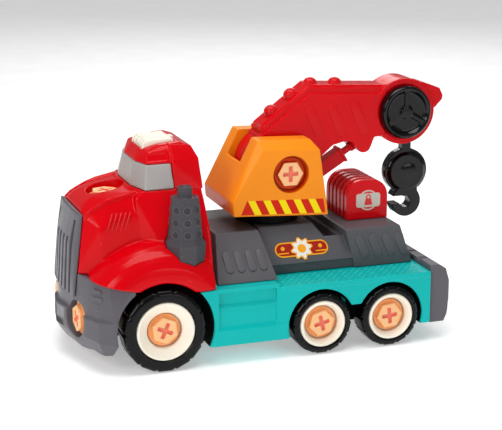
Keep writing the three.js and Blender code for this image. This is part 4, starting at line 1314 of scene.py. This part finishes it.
def make_turret():
    piece(turret_body(), "turret_moulding", "turret", ORANGE, ["turret_housing"])
    for end, side in ENDS:
        liner = flat(recess_shade_liner(side), 40)
        piece(liner, "pivot_recess_shade_" + end, "turret", RECESS_SHADE_ORANGE)
        seat = (PIVOT[0], side * (29 + GAP), PIVOT[1])
        # The pivot screws' sides and flanges take the recess's painted shade.
        screw("boom_pivot_screw_" + end, "turret", 25, seat, (0, side, 0), 0.0, RECESS_SHADE_ORANGE)
        place = on_side((0, TURRET_HALF_WIDTH - 0.1, 0), side)
        colors = [HAZARD_RED, HAZARD_YELLOW]
        name = "hazard_stripes_" + end
        label_piece(name, "turret", hazard_stripes(side), place, colors)


# ---------- boom ----------


def arc_points(center, radius, start, end, steps=14):
    out = []
    for i in range(steps + 1):
        angle = math.radians(start + (end - start) * i / steps)
        out.append((center[0] + radius * math.cos(angle), center[1] + radius * math.sin(angle)))
    return out


def panel_outline():
    outline = arc_points(PIVOT, 32, 8, 62)
    outline += [(-1.7, 164.4), (-45.7, 197.8), (-112, 193.8), (-112, 158.5), (-102.9, 158)]
    outline += arc_points(STRUT_HEAD, 6.5, 198, 333)
    outline += [(-83, 155.3), (-76, 156), (-66, 153.8), (-58, 147)]
    return outline + arc_points(PIVOT, 17, 225, 330)


def rim_outline():
    return [(-8, 150), (-3.4, 170.5), (-45.3, 203), (-112, 199.2), (-112, 165), (-60, 165)]


def spine_outline():
    outline = [(-6, 150), (-4.7, 173.3), (-46.2, 204.7), (-112, 200.8), (-148, 200.6)]
    outline += [(-156, 197.8), (-163.5, 194.8), (-HALF_LENGTH, 188.5), (-165.8, 185)]
    return outline + [(-160.5, 179.5), (-140, 165), (-60, 165)]


def boom_body():
    """Stacked plates of the boom's side, rim and spine, with the drum and slots for hook and strut."""
    wide = BOOM_HALF_WIDTH
    body = plate(panel_outline(), -wide, wide)
    join(body, plate(rim_outline(), -RIM_HALF_WIDTH, RIM_HALF_WIDTH))
    join(body, plate(spine_outline(), -SPINE_HALF_WIDTH, SPINE_HALF_WIDTH))
    join(body, disc(DRUM_RADIUS, -DRUM_HALF_WIDTH, DRUM_HALF_WIDTH, *DRUM))
    for near, far in ((13, 20), (-20, -13)):
        cut(body, disc(KNOB_RADIUS + 0.4, near, far, *DRUM))
    soften(body, 0.5, 2, 0.5)
    cut(body, disc(4.5, -40, 40, *PIVOT, 32), disc(4.5, -40, 40, *DRUM, 32))
    cut(body, block(-152, -117, -5, 5, 130, 168))
    cut(body, block(-107, -79, -4.5, 4.5, 130, 158))
    return body


def boom_pads():
    """Three slanted pads on each side, proudest at their upper ends."""
    pads = []
    spots = [((-44.4, 185), (-54.2, 164)), ((-64.2, 187), (-73.9, 162.7))]
    spots.append(((-83.7, 188.6), (-94.2, 162)))
    for top, bottom in spots:
        middle = ((top[0] + bottom[0]) / 2, BOOM_HALF_WIDTH, (top[1] + bottom[1]) / 2)
        length = math.dist(top, bottom) + 3
        along = (top[0] - bottom[0], 0, top[1] - bottom[1])
        pads.append(placed(pad(length, 8.2, 0.7, 1.2, 0.02), middle, along, (0, 1, 0)))
    return both_sides(pads)


def rivets():
    """Domes along the top of the spine."""
    shapes = []
    dome = [(0.02, 5.3), (2.1, 4.9), (3.9, 4.0), (5.2, 2.5), (5.9, 0.7), (6.0, -1.5), (0.02, -1.5)]
    spots = [(-50.7, 203.6, -3.4), (-72.3, 202.5, -3.4), (-33.3, 195.4, 37), (-16.4, 182.6, 37)]
    for x, z, tilt in spots:
        body = moved(turned(dome, sides=40), Matrix.Rotation(math.pi / 2, 4, "X"))
        place = Matrix.Translation((x, 0, z)) @ Matrix.Rotation(math.radians(tilt), 4, "Y")
        shapes.append(moved(body, place))
    return heap(shapes)


def make_boom():
    whole = boom_body()
    for end, side in ENDS:
        half = shown(whole.data.copy())
        near, far = span(side, GAP / 2, 40)
        keep(half, block(-200, 40, near, far, 90, 240))
        piece(half, "boom_casing_" + end, "boom", RED, ["boom_shell_" + end])
    drop(whole)
    piece(flat(boom_pads(), 20), "boom_pads", "boom", RED)
    piece(rivets(), "boom_rivets", "boom", RED)


# ---------- winch and hook ----------


def knob_shape(side):
    """A dished knob with a hub and three spokes."""
    near, far = DRUM_HALF_WIDTH + 0.5, DRUM_HALF_WIDTH + 8.0
    profile = [
        (4.4, near), (4.4, far - 3.6), (14.8, far - 3.6), (16.6, far - 3.0), (17.8, far - 1.4),
        (19.0, far - 0.3), (20.1, far), (21.3, far - 0.8), (22.0, far - 2.2),
        (KNOB_RADIUS, far - 4), (KNOB_RADIUS, near + 0.5), (KNOB_RADIUS - 0.4, near),
    ]
    body = turned(profile, sides=SIDES)
    hub = [(0.05, near + 3), (5.4, near + 3), (5.4, far - 1.6), (4.6, far - 0.7), (0.05, far - 0.5)]
    join(body, turned(hub, sides=48))
    for index in range(3):
        angle = math.radians(90 + index * 120)
        spoke = block(3, 17, far - 5, far - 1.2, -1.9, 1.9)
        join(body, moved(spoke, Matrix.Rotation(-angle, 4, "Y")))
    soften(body, 0.45, 4, 0.6)
    if side < 0:
        left, body = body, mirror(body)
        drop(left)
    return moved(body, Matrix.Translation((DRUM[0], 0, DRUM[1])))


def ellipsoid(center, radii, rings=24, sides=40):
    work = bmesh.new()
    bmesh.ops.create_uvsphere(work, u_segments=sides, v_segments=rings, radius=1)
    mesh = bpy.data.meshes.new("shape")
    work.to_mesh(mesh)
    work.free()
    size = Matrix.Diagonal((*radii, 1))
    mesh.transform(Matrix.Translation(center) @ size)
    return shown(mesh)


def hook_shape():
    """A fat round block on an eye, with the hook cut out of a disc below it."""
    x, z = HOOK_PIVOT
    low = HOOK_BLOCK_Z
    body = join(disc(5.5, -4, 4, x, z, 48), block(x - 4, x + 4, -4, 4, low, z))
    join(body, ellipsoid((x, 0, low - 1), (19.4, 10, 18)))
    join(body, ellipsoid((x - 1, 0, low - 5), (18.4, 9.6, 15)))
    join(body, disc(19.2, -4, 4, x, low - 1), disc(15, -9, 9, x + 1, low - 1))
    neck = [(x - 9, low - 10), (x + 9, low - 10), (x + 6, low - 24), (x - 11.5, low - 26)]
    join(body, plate(neck, -6, 6), disc(13.2, -6, 6, x, low - 27))
    cut(body, disc(5, -12, 12, x + 1, low - 27.5, 48))
    cut(body, block(x + 3, x + 22, -12, 12, low - 28.5, low - 22))
    cut(body, disc(3, -12, 12, x, z, 32))
    return soften(body, 0.5, 5, 0.6)


def make_winch():
    for end, side in ENDS:
        knob, nodes = knob_shape(side), ["winch_knob_" + end]
        piece(knob, "winch_grip_" + end, "winch", BLACK, nodes)
    piece(hook_shape(), "hook_moulding", "hook", BLACK, ["hook"])


# ---------- strut ----------


def strut_places():
    """Where the strut's foot and head are, in line with each other, and how far apart."""
    dx, dz = STRUT_HEAD[0] - STRUT_FOOT[0], STRUT_HEAD[1] - STRUT_FOOT[1]
    angle = math.atan2(dz, -dx)
    turn = Matrix.Rotation(angle, 4, "Y")
    foot = Matrix.Translation((STRUT_FOOT[0], 0, STRUT_FOOT[1])) @ turn
    head = Matrix.Translation((STRUT_HEAD[0], 0, STRUT_HEAD[1])) @ turn
    return foot, head, math.hypot(dx, dz)


def make_strut():
    foot, head, length = strut_places()
    sleeve = block(-31, -4, -5.6, 5.6, -5.6, 5.6)
    join(sleeve, disc(5.6, -5.6, 5.6, 0, 0, 48), block(-31, -28.6, -6.4, 6.4, -6.4, 6.4))
    cut(sleeve, block(-33, -8, -3.8, 3.8, -3.8, 3.8), disc(3, -9, 9, 0, 0, 32))
    soften(sleeve, 0.4, 3, 0.6)
    name, body = "strut_sleeve_moulding", "strut_sleeve"
    piece(moved(sleeve, foot), name, body, RED, ["strut_sleeve"])
    rod = block(0, length - 10, -2.4, 2.4, -2.4, 2.4)
    join(rod, disc(4.6, -3.8, 3.8, 0, 0, 48), block(5, 9, -3.2, 3.2, -3.2, 3.2))
    cut(rod, disc(3, -9, 9, 0, 0, 32))
    soften(rod, 0.35, 3, 0.6)
    piece(moved(rod, head), "strut_rod_moulding", "strut_rod", RED, ["strut_rod"])


# ---------- plain CAD nodes that keep their own shape ----------

KEPT_GREY = (
    "front_axle", "middle_axle", "rear_axle", "underplate", "turret_retainer", "winch_axle",
    "hook_pin", "strut_foot_pin", "strut_head_pin",
)
EDGE_BEVEL = 0.3 * MM


def dress_kept_nodes():
    kept = {name: DARK_GREY for name in KEPT_GREY}
    # The turntable is painted black as the shade in the gap under the turret.
    kept.update(turret_turntable=SHADE_BLACK, strut_bracket=RED)
    for name, material in kept.items():
        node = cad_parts[name]
        node.data.materials.clear()
        node.data.materials.append(material)
        bevel = node.modifiers.new("edge", "BEVEL")
        bevel.width = EDGE_BEVEL
        bevel.segments = 2
        bevel.limit_method = "ANGLE"


# ---------- the scene ----------

make_camera()
make_studio()
make_floor()
make_wheels()
make_chassis()
make_deck()
make_counterweight()
make_emblem("side_badge_left", 1)
make_emblem("side_badge_right", -1)
make_cab()
make_grille()
make_bumper()
make_turret()
make_boom()
make_winch()
make_strut()
dress_kept_nodes()
for head in heads.values():
    drop(head)
